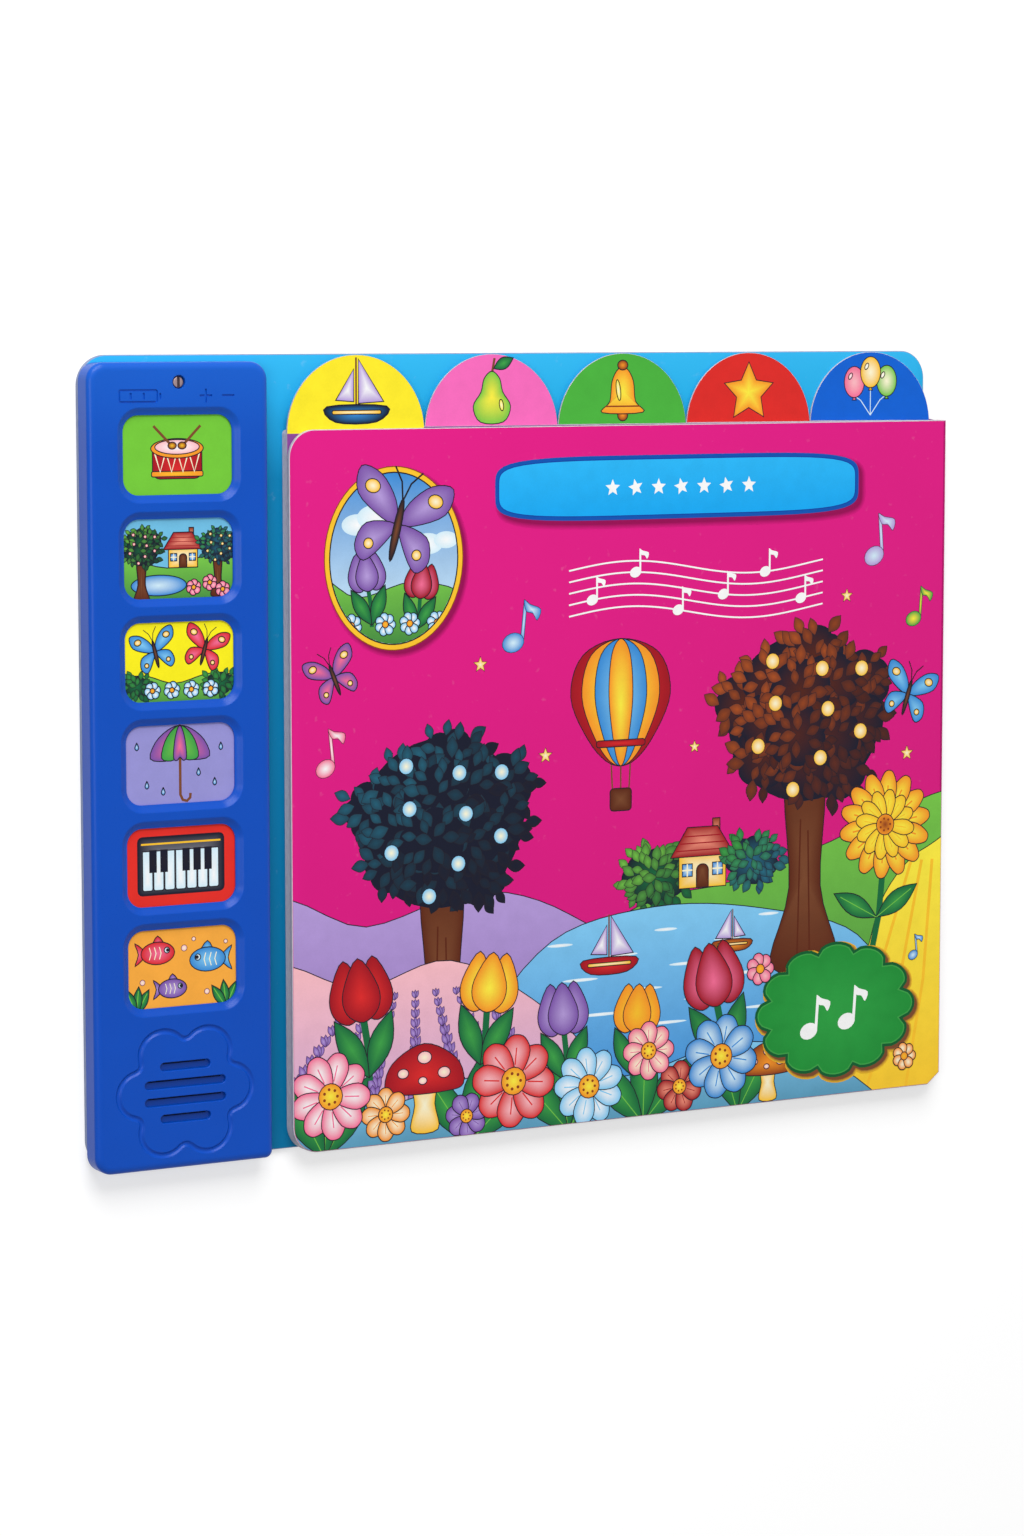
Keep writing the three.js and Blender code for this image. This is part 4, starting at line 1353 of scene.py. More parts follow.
@dataclass
class Finishes:
    """Every material of the book, made once."""

    ink: bpy.types.Material
    cover: bpy.types.Material
    endpaper: bpy.types.Material
    board: bpy.types.Material
    board_back: bpy.types.Material
    spine: bpy.types.Material
    leaf: bpy.types.Material
    cut_edge: bpy.types.Material
    board_edge: bpy.types.Material
    casing: bpy.types.Material
    casing_shade: bpy.types.Material
    inner: dict[str, bpy.types.Material]

    @classmethod
    def make(cls) -> Finishes:
        """Makes the materials."""
        inner = {
            "steel": BareMetal("plated_steel", srgb(196, 198, 202)),
            "screw": BareMetal("dull_plated_screw", srgb(156, 134, 136), 0.42),
            # The screw slot's dark colour is painted shade.
            "painted_slot_shade": PlainMaterial("screw_slot_painted_shade", srgb(58, 40, 48), 0.7),
            "contact": BareMetal("brass_strip", srgb(205, 170, 96)),
            "magnet": BareMetal("magnet_plate", srgb(120, 122, 128), 0.4),
            "key": PlainMaterial("white_key_plastic", srgb(236, 236, 230), 0.4),
            "rubber": PlainMaterial("silicone_rubber", srgb(206, 208, 202), 0.7),
            "circuit": PlainMaterial("green_laminate", srgb(38, 104, 54), 0.45),
            "chip": PlainMaterial("black_resin", srgb(18, 18, 20), 0.25),
            "cone": PlainMaterial("cone_paper", srgb(44, 44, 48), 0.85),
            "tape": PlainMaterial("foam_tape", srgb(238, 234, 222), 0.8),
            "red": PlainMaterial("red_sleeve", srgb(178, 32, 28), 0.5),
            "black": PlainMaterial("black_sleeve", srgb(24, 24, 26), 0.5),
        }
        # The board's blue is a printed gradient, darkened lower down by painted shade in the channel between
        # the casing and the leaves.
        board = ((-80.0, srgb(2, 118, 166)), (10.0, srgb(4, 124, 172)), (80.0, srgb(6, 130, 180)),
                 (103.0, srgb(38, 174, 230)), (115.0, srgb(50, 182, 238)))
        return cls(
            ink=PrintedInk("printed_ink").make(),
            cover=FilmedCard("cover_film", ((0.0, Hue.PINK.value),)).make(),
            endpaper=FilmedCard("endpaper_film", ((-110.0, Hue.LILAC.value),
                                                  (90.0, srgb(206, 186, 232)))).make(),
            board=FilmedCard("board_film_painted_shade", board).make(),
            board_back=FilmedCard("board_back_film", ((-110.0, srgb(34, 150, 206)),
                                                      (110.0, srgb(84, 190, 240)))).make(),
            spine=FilmedCard("spine_film", ((0.0, Hue.DEEP_PINK.value),)).make(),
            leaf=FilmedCard("leaf_film", ((-110.0, srgb(122, 80, 154)),
                                          (94.0, srgb(136, 68, 148))), 0.45).make(),
            cut_edge=CutCard("cut_card", srgb(226, 222, 226), srgb(140, 134, 152)).make(),
            board_edge=CutCard("cut_board", srgb(176, 184, 210), srgb(104, 122, 168), 0.4).make(),
            # The casing grows lighter towards its head: painted light, as if lit from beyond the head.
            casing=MouldedPlastic("blue_casing_painted_light", ((-60.0, srgb(0, 75, 186)), (90.0, srgb(2, 79, 190)),
                                                  (112.0, srgb(16, 92, 202)))).make(),
            # The sound slots' troughs take a darker blue: painted shade in the recesses.
            casing_shade=MouldedPlastic("casing_trough_painted_shade", ((-60.0, srgb(0, 58, 150)),
                                                          (90.0, srgb(0, 60, 154)))).make(),
            inner={key: finish.make() for key, finish in inner.items()},
        )


@dataclass
class BackBoard:
    """The tall blue card that carries everything."""

    corner_r: float = 8.5
    edge: float = 0.25

    def build(self, finishes: Finishes) -> list[bpy.types.Object]:
        """Builds the board over its node.

        Args:
            finishes: The materials.

        Returns:
            The pieces.
        """
        box = Box.of("back_board")
        outline = rounded_box(box.x0, box.y0, box.x1, box.y1, (self.corner_r,) * 4, 14)
        mesh = bmesh.new()
        add_stack(mesh, plate_rings(outline, box.z0, box.z1, self.edge), (0, 1, 2))
        piece = object_from(mesh, "back_board_card",
                            [finishes.board, finishes.board_edge, finishes.board_back])
        sharpened(piece)
        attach(piece, "base")
        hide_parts("back_board")
        return [piece]


@dataclass
class Cover:
    """The pink front cover and its print."""

    corner_r: float = 8.0
    clip_x: float = 4.4
    clip_y: float = 3.6
    edge: float = 0.22
    print_inset: float = 0.1
    fold_width: float = 0.9

    def outline(self, box: Box, inset: float = 0.0) -> list[Point]:
        """The cover's outline, clipped at the foot of the spine.

        Args:
            box: The cover's box.
            inset: How far inside it the outline runs.

        Returns:
            The outline.
        """
        r = self.corner_r
        plain = rounded_box(box.x0, box.y0, box.x1, box.y1, (0, 0, r, r), 12)
        foot = [(box.x1 - self.clip_x, box.y0), (box.x1, box.y0 + self.clip_y)]
        whole = foot + plain[1:]
        return grown(whole, -inset) if inset else whole

    def build(self, finishes: Finishes) -> list[bpy.types.Object]:
        """Builds the cover, its print outside and its endpaper print inside.

        Args:
            finishes: The materials.

        Returns:
            The pieces.
        """
        box = Box.of("front_cover")
        mesh = bmesh.new()
        add_stack(mesh, plate_rings(self.outline(box), box.z0, box.z1, self.edge), (0, 1, 2))
        card = object_from(mesh, "front_cover_card", [finishes.cover, finishes.cut_edge, finishes.endpaper])
        sharpened(card)
        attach(card, "cover")
        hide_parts("front_cover")
        window = [(x - box.x0, y - box.y0) for x, y in self.outline(box, self.edge + self.print_inset)]
        art = Print((box.x0, box.y0), box.z1, window)
        CoverArt(art, box.w, box.h, self.fold_width).draw()
        outside = art.build("cover_print", finishes.ink)
        inner = Print((box.x0, box.y0), box.z0, window, flipped=True)
        scatter_stars(inner, box.w, box.h)
        inside = inner.build("endpaper_print", finishes.ink)
        for piece in (outside, inside):
            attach(piece, "cover")
        return [card, outside, inside]


def scatter_stars(art: Print, width: float, height: float, pitch: float = 26.0) -> None:
    """Fills a face with an even pattern of small stars and dots.

    Args:
        art: The print.
        width: Width of the face.
        height: Height of the face.
        pitch: Distance between stars.
    """
    columns = int(width // pitch)
    rows = int(height // pitch)
    for row in range(rows):
        for column in range(columns):
            x = pitch * (column + 0.75 + 0.5 * (row % 2))
            y = pitch * (row + 0.75)
            if (row + column) % 2:
                art.flat(star(x, y, 4.2, 5, 0.5, 90 + 15 * column), Hue.CREAM)
            else:
                art.flat(ellipse(x, y, 1.8, 1.8, steps=16), Hue.GOLD)


@dataclass
class CoverArt:
    """The garden scene of the front cover, in the cover's own millimetres."""

    art: Print
    width: float
    height: float
    fold_width: float

    @property
    def plants(self) -> Plants:
        """Flowers and foliage on this print."""
        return Plants(self.art)

    def draw(self) -> None:
        """Draws the print from back to front."""
        self.fold()
        self.hills()
        self.trees()
        self.meadow()
        self.flowers()
        self.sky()
        self.pill()
        self.medallion()
        self.panel()

    def fold(self) -> None:
        """The darker line where the cover folds at the spine."""
        left = self.width - self.fold_width
        self.art.flat([(left, 0), (self.width, 0), (self.width, self.height), (left, self.height)],
                      Hue.DEEP_PINK)

    def hills(self) -> None:
        """Far hills, a cottage among bushes and the lake before them."""
        hill = self.art.risen
        hill(smooth([(-10, -10), (60, -10), (120, -10), (120, 40), (92, 64), (60, 73), (24, 65),
                     (-10, 71)], 6), Hue.PURPLE, Hue.LILAC)
        hill(smooth([(96, -10), (240, -10), (240, 84), (214, 90), (186, 80), (150, 70), (108, 58)], 6),
             Hue.LEAF_DARK, Hue.GRASS)
        self.plants.crown(122, 73, 13, 10, 60, Hue.LEAF_DARK, Hue.GRASS, 0.36)
        self.art.picture(COTTAGE, 139, 76, 12)
        self.plants.crown(157, 76, 11, 8.5, 50, Hue.TEAL, Hue.LEAF, 0.38)
        hill(smooth([(66, 30), (96, 10), (150, 10), (204, 26), (196, 50), (160, 61), (122, 64), (86, 56)], 6),
             Hue.LAKE, Hue.SKY)
        for i in range(16):
            x = 88 + 37 * i % 96
            y = 26 + 2.2 * i
            self.art.shaded(ellipse(x, y, 9 - 0.35 * i, 0.5, steps=14), Hue.ICE, Hue.WHITE, 0.0)
        self.art.picture(BOAT, 106, 47, 9, Hue.RED_DARK, Hue.RED)
        self.art.picture(BOAT, 150, 50, 6.5, Hue.BROWN, Hue.ORANGE, flip=True)

    def trees(self) -> None:
        """The two great trees and the balloon between them."""
        self.plants.tree(49, 94, 34, Hue.NIGHT, Hue.TEAL, Hue.SKY)
        self.plants.tree(176, 119, 35, Hue.BROWN_DARK, Hue.RUST, Hue.GOLD)
        self.art.picture(AIR_BALLOON, 110, 128, 17)

    def meadow(self) -> None:
        """The near banks: rows of lavender, a yellow field and the flower bed."""
        bank = self.art.risen
        bank(smooth([(-10, -10), (110, -10), (104, 14), (84, 36), (52, 53), (22, 47), (-10, 53)], 6),
             Hue.LILAC, Hue.BLUSH)
        for i in range(16):
            share = 0.62 * (1 - i / 15)
            for k in range(7):
                foot = -14 + 18 * k
                x, y = foot + (40 - foot) * share, -2 + 72 * share
                r = 5.2 * (1 - share)
                for lean in (-24, 0, 24):
                    self.art.shaded(blade(x, y, r * 1.3, r * 0.6, 90 + lean), Hue.PURPLE, Hue.LILAC, 0.12)
        bank(smooth([(240, -10), (240, 74), (222, 76), (206, 62), (196, 36), (176, 12), (170, -10)], 6),
             Hue.GOLD, Hue.YELLOW)
        for k in range(5):
            self.art.stroke([(182 + 16 * k, -4), (203 + 9 * k, 34), (216 + 4 * k, 72)], 1.1, Hue.GOLD)
        bank(smooth([(-10, -10), (190, -10), (184, 12), (150, 20), (112, 13), (70, 19), (30, 12),
                     (-10, 17)], 6), Hue.TEAL, Hue.SKY)

    def flowers(self) -> None:
        """Sunflower, tulips, toadstools and daisies along the foot."""
        picture = self.art.picture
        plants = self.plants
        self.art.stroke([(206, 78), (204, 56), (199, 34)], 2.2, Hue.LEAF_DARK)
        plants.fan(203, 55, 18, (32, 152))
        plants.daisy(206, 84, 17, Hue.ORANGE, Hue.YELLOW, Hue.BROWN, 14, 8)
        plants.daisy(206, 84, 11, Hue.GOLD, Hue.YELLOW, Hue.BROWN, 12, 20)
        for x, angles in ((10, (58, 88, 118)), (58, (42, 80, 124)), (92, (60, 100, 132)),
                          (118, (46, 88, 130)), (152, (60, 108))):
            plants.fan(x, -2, 27, angles)
        for x, y, r, rim, heart, lean in (
                (22, 46, 9.5, Hue.RED_DARK, Hue.RED, 6), (65, 45, 9, Hue.ORANGE, Hue.YELLOW, -8),
                (143, 41, 10, Hue.RED_DARK, Hue.ROSE, 9), (90, 35, 8, Hue.PURPLE, Hue.LILAC, 3),
                (116, 33, 7.5, Hue.ORANGE, Hue.GOLD, -5)):
            picture(TULIP, x, y, r, rim, heart, lean)
        picture(TOADSTOOL, 43, 3, 13, Hue.RED_DARK, Hue.RED)
        picture(TOADSTOOL, 163, 1, 9, Hue.BROWN, Hue.ORANGE)
        for x, y, r, rim, heart, petals in (
                (131, 8, 8, Hue.RED_DARK, Hue.CORAL, 7), (30, 9, 8, Hue.ORANGE, Hue.CREAM, 8),
                (57, 6, 7, Hue.PURPLE, Hue.LILAC, 7), (12, 16, 13, Hue.ROSE, Hue.WHITE, 9),
                (73, 15, 14, Hue.RED, Hue.BLUSH, 8), (99, 11, 12, Hue.SKY, Hue.WHITE, 9),
                (146, 16, 13, Hue.LAKE, Hue.ICE, 8), (120, 20, 9, Hue.ROSE, Hue.CREAM, 8)):
            plants.daisy(x, y, r, rim, heart, Hue.YELLOW, petals, 3 * x)

    def sky(self) -> None:
        """Butterflies, notes and stars, and a white stave on the plain ground above."""
        picture = self.art.picture
        picture(BUTTERFLY, 214, 124, 9.5, Hue.LAKE, Hue.SKY, -18)
        picture(BUTTERFLY, 14, 138, 8, Hue.PURPLE, Hue.ROSE, 22)
        for x, y, r, rim, heart, lean in (
                (73, 146, 4.8, Hue.LAKE, Hue.ICE, -6), (11, 112, 4.2, Hue.ROSE, Hue.WHITE, 6),
                (201, 168, 4.8, Hue.LILAC, Hue.ICE, 4), (216, 148, 3.8, Hue.LEAF, Hue.YELLOW, -4)):
            picture(NOTE, x, y, r, rim, heart, lean, 0.16)
        for x, y, r in ((62, 140, 2.4), (191, 156, 2.2), (84, 112, 2.4), (214, 106, 2.4), (136, 112, 2.0)):
            self.art.shaded(star(x, y, r), Hue.GOLD, Hue.CREAM, 0.16)

        def wave(x: float) -> float:
            """Height of the stave's lowest line."""
            return 153 + 2.4 * math.sin((x - 92) / 13.5)
        for line in range(5):
            path = [(92 + 2 * i, wave(92 + 2 * i) + 3.4 * line) for i in range(46)]
            self.art.stroke(path, 0.5, Hue.WHITE)
        for x, line in ((100, 1), (115, 3), (130, 0), (146, 2), (161, 4), (174, 1)):
            picture(NOTE, x, wave(x) + 3.4 * line, 2.6, Hue.WHITE, Hue.WHITE, 0.0, 0.0)

    def pill(self) -> None:
        """The title band: a blue bar with a darker rim over a soft shadow, a row of stars on it."""
        cx, cy = 131.0, 190.9

        def band(inset: float) -> list[Point]:
            """The band's outline, a rectangle with swelling sides."""
            made = []
            for i in range(96):
                angle = 2 * math.pi * i / 96
                c, s = math.cos(angle), math.sin(angle)
                reach = (abs(c) ** 5 + abs(s) ** 5) ** (-1 / 5)
                made.append((cx + (64 - inset) * c * reach, cy + (9.6 - inset) * s * reach))
            return made
        self.art.shadow(band(0.0), Hue.PINK.value, Hue.SHADOW_PINK.value, 1.3)
        self.art.flat(band(0.0), Hue.PILL_RIM)
        self.art.flat(band(1.05), Hue.PILL_LINE)
        self.art.risen(band(1.35), Hue.PILL, Hue.PILL_LIT, 0.0)
        for i in range(7):
            self.art.flat(star(cx - 24 + 8 * i, cy, 2.6, turn=90 + 12 * (i % 2)), Hue.WHITE)

    def medallion(self) -> None:
        """The oval picture in its yellow ring."""
        cx, cy, rx, ry = 33.6, 172.0, 22.6, 26.6
        self.art.shadow(ellipse(cx, cy, rx, ry, steps=64), Hue.PINK.value, Hue.SHADOW_PINK.value, 1.1)
        self.art.shaded(ellipse(cx, cy, rx, ry, steps=64), Hue.GOLD, Hue.YELLOW, 0.3, line=Hue.BROWN)
        self.art.risen(ellipse(cx, cy, rx - 1.7, ry - 1.7, steps=64), Hue.ICE, Hue.LAKE, 0.4)
        whole = self.art.window
        self.art.window = ellipse(cx, cy, rx - 1.9, ry - 1.9, steps=48)
        for x, y, r in ((-12, 10, 5), (-6, 12, 6), (11, 4, 5), (17, 5, 4)):
            self.art.shaded(ellipse(cx + x, cy + y, r, r * 0.62), Hue.ICE, Hue.WHITE, 0.0)
        hill = [(cx - 30, cy - 30), (cx + 30, cy - 30), (cx + 24, cy - 12), (cx + 6, cy - 7),
                (cx - 12, cy - 11), (cx - 26, cy - 5)]
        self.art.risen(smooth(hill, 5), Hue.LEAF_DARK, Hue.GRASS)
        self.art.picture(TULIP, cx - 9, cy - 4, 5.6, Hue.PURPLE, Hue.LILAC, 6)
        self.art.picture(TULIP, cx + 9, cy - 7, 5.2, Hue.RED_DARK, Hue.ROSE, -8)
        for x in (-14, -3, 5, 14):
            self.plants.daisy(cx + x, cy - 19, 3.4, Hue.SKY, Hue.WHITE, Hue.GOLD, 7, x)
        self.art.window = whole
        self.art.picture(BUTTERFLY, cx + 1, cy + 9, 15.5, Hue.PURPLE, Hue.LILAC, -14)

    def panel(self) -> None:
        """The green panel with its scalloped edge and two white notes."""
        outline = scalloped(188, 27, 29.8, 21.4, 12, 0.12, 0.5)
        self.art.shadow(outline, Hue.GOLD.value, Hue.BARK.value, 0.9)
        self.art.flat(outline, Hue.PANEL_RIM)
        self.art.flat(grown(outline, -0.9), Hue.LEAF)
        self.art.shaded(grown(outline, -1.3), Hue.PANEL, Hue.PANEL_LIT, 0.0)
        for x, y in ((178, 21), (192, 23)):
            self.art.picture(NOTE, x, y, 4.2, Hue.WHITE, Hue.WHITE, -4, 0.0)
        self.art.picture(NOTE, 217, 42, 2.4, Hue.LAKE, Hue.ICE, 6, 0.16)
        self.plants.daisy(160, 42, 5, Hue.ROSE, Hue.BLUSH, Hue.GOLD, 7)
        self.plants.daisy(214, 10, 4.4, Hue.ORANGE, Hue.CREAM, Hue.GOLD, 7)


@dataclass
class Leaves:
    """The block of five tabbed leaves, one solid, with the print that shows on it."""

    tab_rise: float = 21.2
    tab_gap: float = 0.5
    spine_inset: float = 1.9
    corner_r: float = 8.0
    top_corner_r: float = 1.2
    clip_x: float = 4.4
    clip_y: float = 3.6
    nick: float = 0.14
    nick_depth: float = 0.35
    edge: float = 0.1
    tab_print_drop: float = 1.1
    page_inset: float = 0.4
    page_drop: float = 1.2
    cover_past: float = 1.3
    lap: float = 0.02
    count: int = 5

    def outline(self, box: Box, index: int) -> list[Point]:
        """One leaf's outline with its tab.

        Args:
            box: The block's box.
            index: Which leaf, from the top.

        Returns:
            The outline, anticlockwise.
        """
        top = box.y1 - self.tab_rise
        pitch = (box.w - self.spine_inset) / self.count
        tab_r = (pitch - self.tab_gap) / 2
        tab_x = box.x0 + tab_r + index * pitch
        tab_y = box.y1 - tab_r
        start = math.degrees(math.asin((top - tab_y) / tab_r) + 0.02)
        cover_edge = box.x1 + self.cover_past
        clip_start = cover_edge - self.clip_x
        clip_y = box.y0 + self.clip_y * (box.x1 - clip_start) / self.clip_x
        made = [(clip_start, box.y0), (box.x1, clip_y), (box.x1, top)]
        made += arc(tab_x, tab_y, tab_r, start, 180 - start, 32)
        corner = self.top_corner_r
        if index:
            made += arc(box.x0 + corner, top - corner, corner, 90, 180, 4)
        else:
            made.append((box.x0, top - corner))
        return made + arc(box.x0 + self.corner_r, box.y0 + self.corner_r, self.corner_r, 180, 270, 8)

    def build(self, finishes: Finishes) -> list[bpy.types.Object]:
        """Builds the block, the tabs' print and the first page's print.

        Args:
            finishes: The materials.

        Returns:
            The pieces.
        """
        box = Box.of("page_block")
        pitch_z = (box.z1 - box.z0) / self.count
        mesh = bmesh.new()
        tabs = Print((0, 0), box.z1)
        hues = (Hue.TAB_YELLOW, Hue.TAB_PINK, Hue.TAB_GREEN, Hue.TAB_RED, Hue.TAB_BLUE)
        for i in range(self.count):
            high = box.z1 - i * pitch_z
            low = high - pitch_z + (self.nick if i < self.count - 1 else 0)
            outline = self.outline(box, i)
            add_stack(mesh, plate_rings(outline, low, high, self.edge), (0, 1, 0))
            if i < self.count - 1:
                core = grown(self.outline(box, i), -self.nick_depth)
                add_stack(mesh, [(core, low - self.nick - self.lap), (core, low + self.lap)], (1, 1, 1))
            self.draw_tab(tabs, box, hues[i], outline, high)
        block = object_from(mesh, "leaf_block", [finishes.leaf, finishes.cut_edge])
        sharpened(block, 50)
        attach(block, "base")
        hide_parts("page_block")
        pieces = [block, tabs.build("tab_print", finishes.ink)]
        page = Print((box.x0, box.y0), box.z1, self.page_window(box))
        self.draw_page(page)
        pieces.append(page.build("first_page_print", finishes.ink))
        for piece in pieces[1:]:
            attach(piece, "base")
        return pieces

    def page_window(self, box: Box) -> list[Point]:
        """The first page's printed area, below its tab."""
        inset, right = self.page_inset, box.w - self.page_inset
        top = box.h - self.tab_rise - inset - self.page_drop
        plain = rounded_box(inset, inset, right, top, (0, 0, 0, self.corner_r), 8)
        return [(box.w - self.clip_x, inset), (right, self.clip_y)] + plain[1:]

    def draw_tab(self, art: Print, box: Box, hue: Hue, outline: Sequence[Point], height: float) -> None:
        """Prints one tab in its colour with a small motif.

        Args:
            art: The print.
            box: The block's box.
            hue: Its colour.
            outline: Its leaf's outline.
            height: Its leaf's face.
        """
        art.height = height
        floor = box.y1 - self.tab_rise - self.tab_print_drop
        tab = [p for p in grown(outline, -self.edge) if p[1] > box.y1 - self.tab_rise + 0.05]
        left, right = min(p[0] for p in tab), max(p[0] for p in tab)
        art.window = [(left, floor), (right, floor), (right, box.y1), (left, box.y1)]
        middle = (left + right) / 2
        radius = (right - left) / 2
        centre = box.y1 - self.edge - radius
        half = ellipse(middle, centre, radius, radius, steps=72)
        art.flat(half, hue)
        art.flat([(left, floor), (right, floor), (right, centre), (left, centre)], hue)
        foot = box.y1 - self.tab_rise
        if hue is Hue.TAB_YELLOW:
            art.picture(BOAT, middle, foot + 4.0, 9.4, Hue.NIGHT, Hue.LAKE)
        elif hue is Hue.TAB_PINK:
            art.picture(PEAR, middle, foot + 8.6, 7.6)
        elif hue is Hue.TAB_GREEN:
            art.picture(BELL, middle, foot + 9.2, 7.4)
        elif hue is Hue.TAB_RED:
            art.shaded(star(middle, foot + 9.2, 9.2, 5, 0.5), Hue.ORANGE, Hue.YELLOW)
        else:
            art.picture(PARTY_BALLOONS, middle, foot + 1.8, 6.0)
        art.window = None

    def draw_page(self, art: Print) -> None:
        """Prints the first page: soft evening hills under a moon."""
        art.risen(smooth([(-10, -10), (240, -10), (240, 60), (180, 84), (120, 64), (60, 86), (-10, 66)], 6),
                  Hue.LEAF_DARK, Hue.GRASS)
        art.shaded(ellipse(168, 150, 24, 24, steps=48), Hue.GOLD, Hue.CREAM)
        plants = Plants(art)
        plants.tree(52, 104, 30, Hue.LEAF_DARK, Hue.GRASS, Hue.RED)
        art.picture(COTTAGE, 150, 66, 26)
        for x in (20, 84, 112, 190, 212):
            plants.daisy(x, 22 + (x % 7), 9, Hue.ROSE, Hue.BLUSH, Hue.GOLD, 8, x)
        for x, y in ((96, 170), (126, 184), (206, 188), (24, 176), (66, 188), (210, 120)):
            art.shaded(star(x, y, 4.4), Hue.GOLD, Hue.CREAM)


@dataclass
class ModuleCase:
    """The plastic casing: its rimmed windows, rosette, slots and the signs sunk beside the screw."""

    corner_r: float = 5.2
    page_corner_r: float = 2.2
    edge_r: float = 1.6
    edge_in: float = 2.3
    wall: float = 1.5
    face_t: float = 1.7
    side: float = 10.9
    window_r: float = 4.6
    web: float = 2.05
    rim_w: float = 2.3
    rim_depth: float = 1.3
    head_h: float = 12.4
    grille_h: float = 44.2
    buttons: int = 6
    rosette_ring: float = 13.6
    rosette_lobe: float = 7.3
    rosette_flat: float = 0.94
    rosette_lobes: int = 6
    groove_half: float = 0.85
    groove_depth: float = 0.62
    slot_h: float = 2.4
    slot_pitch: float = 5.0
    slot_lengths: tuple[float, ...] = (15.6, 25.2, 25.2, 15.6)
    slot_depth: float = 1.15
    slit_h: float = 0.36
    slit_rise: float = 0.86
    slit_short: float = 2.4
    slit_reach: float = 4.0
    screw_drop: float = 5.6
    screw_hole_r: float = 1.9
    screw_sink: float = 1.4
    screw_well_r: float = 1.2
    tray_gap: float = 0.3
    mouth_depth: float = 3.0
    sign_line: float = 0.55
    sign_depth: float = 0.4
    sign_drop: float = 3.8
    sign_half_h: float = 1.9
    sign_corner_r: float = 0.75
    battery_left: float = 18.5
    battery_w: float = 12.0
    battery_strokes: tuple[Point, ...] = ((12.4, 0.8), (3.4, 0.9), (7.4, 0.9))
    stroke_w: float = 0.6
    plus_x: float = 8.2
    minus_x: float = 13.2
    minus_w: float = 3.8

    def window_rings(self, cx: float, cy: float, w: float, h: float, top: float) -> list[Any]:
        """The cut of one window, with its rim rolled over into the face.

        Args:
            cx: Centre.
            cy: Centre.
            w: Width of the opening.
            h: Height of the opening.
            top: The casing's face.

        Returns:
            Rings from the lowest to the highest.
        """
        profile = ((0.0, 1.0), (0.12, 0.96), (0.5, 0.84), (1.0, 0.62), (1.45, 0.36), (1.85, 0.14),
                   (2.1, 0.04), (self.rim_w, 0.0))

        def ring(out: float) -> list[Point]:
            """The opening grown by the given amount."""
            return rounded_box(cx - w / 2 - out, cy - h / 2 - out, cx + w / 2 + out, cy + h / 2 + out,
                               (self.window_r + out,) * 4, 10)
        rings = [(ring(0.0), top - self.face_t - 1)]
        rings += [(ring(out), top - self.rim_depth * share) for out, share in profile]
        return rings + [(ring(self.rim_w + 0.02), top + 1)]

    def slots(self, cx: float, cy: float, top: float) -> tuple[list[Any], list[Any]]:
        """The four troughs of the grille, and the slit along the upper edge of each."""
        troughs = []
        slits = []
        profile = ((-0.22, 1.0), (-0.06, 0.85), (0.0, 0.35), (0.05, 0.15), (0.14, 0.04), (0.26, 0.0),
                   (0.27, -1.0))
        for i, length in enumerate(self.slot_lengths):
            y = cy + (1.5 - i) * self.slot_pitch

            def ring(run: float, height: float, y: float) -> list[Point]:
                """A slot with round ends."""
                return rounded_box(cx - run / 2, y - height / 2, cx + run / 2, y + height / 2,
                                   (height / 2 * 0.999,) * 4, 8)
            troughs.append([(ring(length + 2 * out, self.slot_h + 2 * out, y), top - depth)
                            for out, depth in profile])
            slit = ring(length - self.slit_short, self.slit_h, y + self.slit_rise)
            slits.append([(slit, top - self.slit_reach), (slit, top + 1.0)])
        return troughs, slits

    def rosette_path(self, cx: float, cy: float) -> list[Point]:
        """The middle line of the rosette groove, its valleys rounded."""
        steps = 30 * self.rosette_lobes
        half = math.pi / self.rosette_lobes
        reach = []
        for i in range(steps):
            off = (2 * math.pi * i / steps + half) % (2 * half) - half
            across = self.rosette_ring * math.sin(off)
            bulge = math.sqrt(max(self.rosette_lobe ** 2 - across ** 2, 0))
            reach.append(self.rosette_ring * math.cos(off) + bulge)
        soft = [sum(reach[(i + k) % steps] for k in range(-3, 4)) / 7 for i in range(steps)]
        return [around(cx, cy, r, self.rosette_flat * r, 2 * math.pi * i / steps) for i, r in enumerate(soft)]

    def rosette(self, cx: float, cy: float, top: float) -> bpy.types.Object:
        """The closed round-bottomed groove of the rosette."""
        path = self.rosette_path(cx, cy)
        section = ((-1.15, -2.0), (-1.1, 0.0), (-0.92, 0.14), (-0.55, 0.82), (0.0, 1.0), (0.55, 0.82),
                   (0.92, 0.14), (1.1, 0.0), (1.15, -2.0))
        return hoop("groove_cut", [(grown(path, across * self.groove_half), top - down * self.groove_depth)
                                   for across, down in section])

    def signs(self, cx: float, y: float, top: float) -> list[bpy.types.Object]:
        """Cutters of the battery sign left of the screw and the plus and minus signs right of it."""
        low, high = top - self.sign_depth, top + 1
        line, arm = self.sign_line, self.sign_half_h
        half = line / 2
        left = cx - self.battery_left
        right = left + self.battery_w
        case, inner = (rounded_box(left + inset, y - arm + inset, right - inset, y + arm - inset,
                                   (self.sign_corner_r - inset,) * 4, 4) for inset in (0.0, line))
        frame = hoop("sign_cut", [(case, low), (case, high), (inner, high), (inner, low)])
        strokes = [(left + start, self.stroke_w, half_h) for start, half_h in self.battery_strokes]
        strokes.append((cx + self.minus_x, self.minus_w, half))
        bars = [rounded_box(x, y - half_h, x + wide, y + half_h, (0.1,) * 4, 2)
                for x, wide, half_h in strokes]
        bars.append([(cx + self.plus_x + a, y + b) for a, b in (
            (half, half), (half, arm), (-half, arm), (-half, half), (-arm, half), (-arm, -half),
            (-half, -half), (-half, -arm), (half, -arm), (half, -half), (arm, -half), (arm, half))])
        return [frame, solid("bar_cut", *([(bar, low), (bar, high)] for bar in bars))]

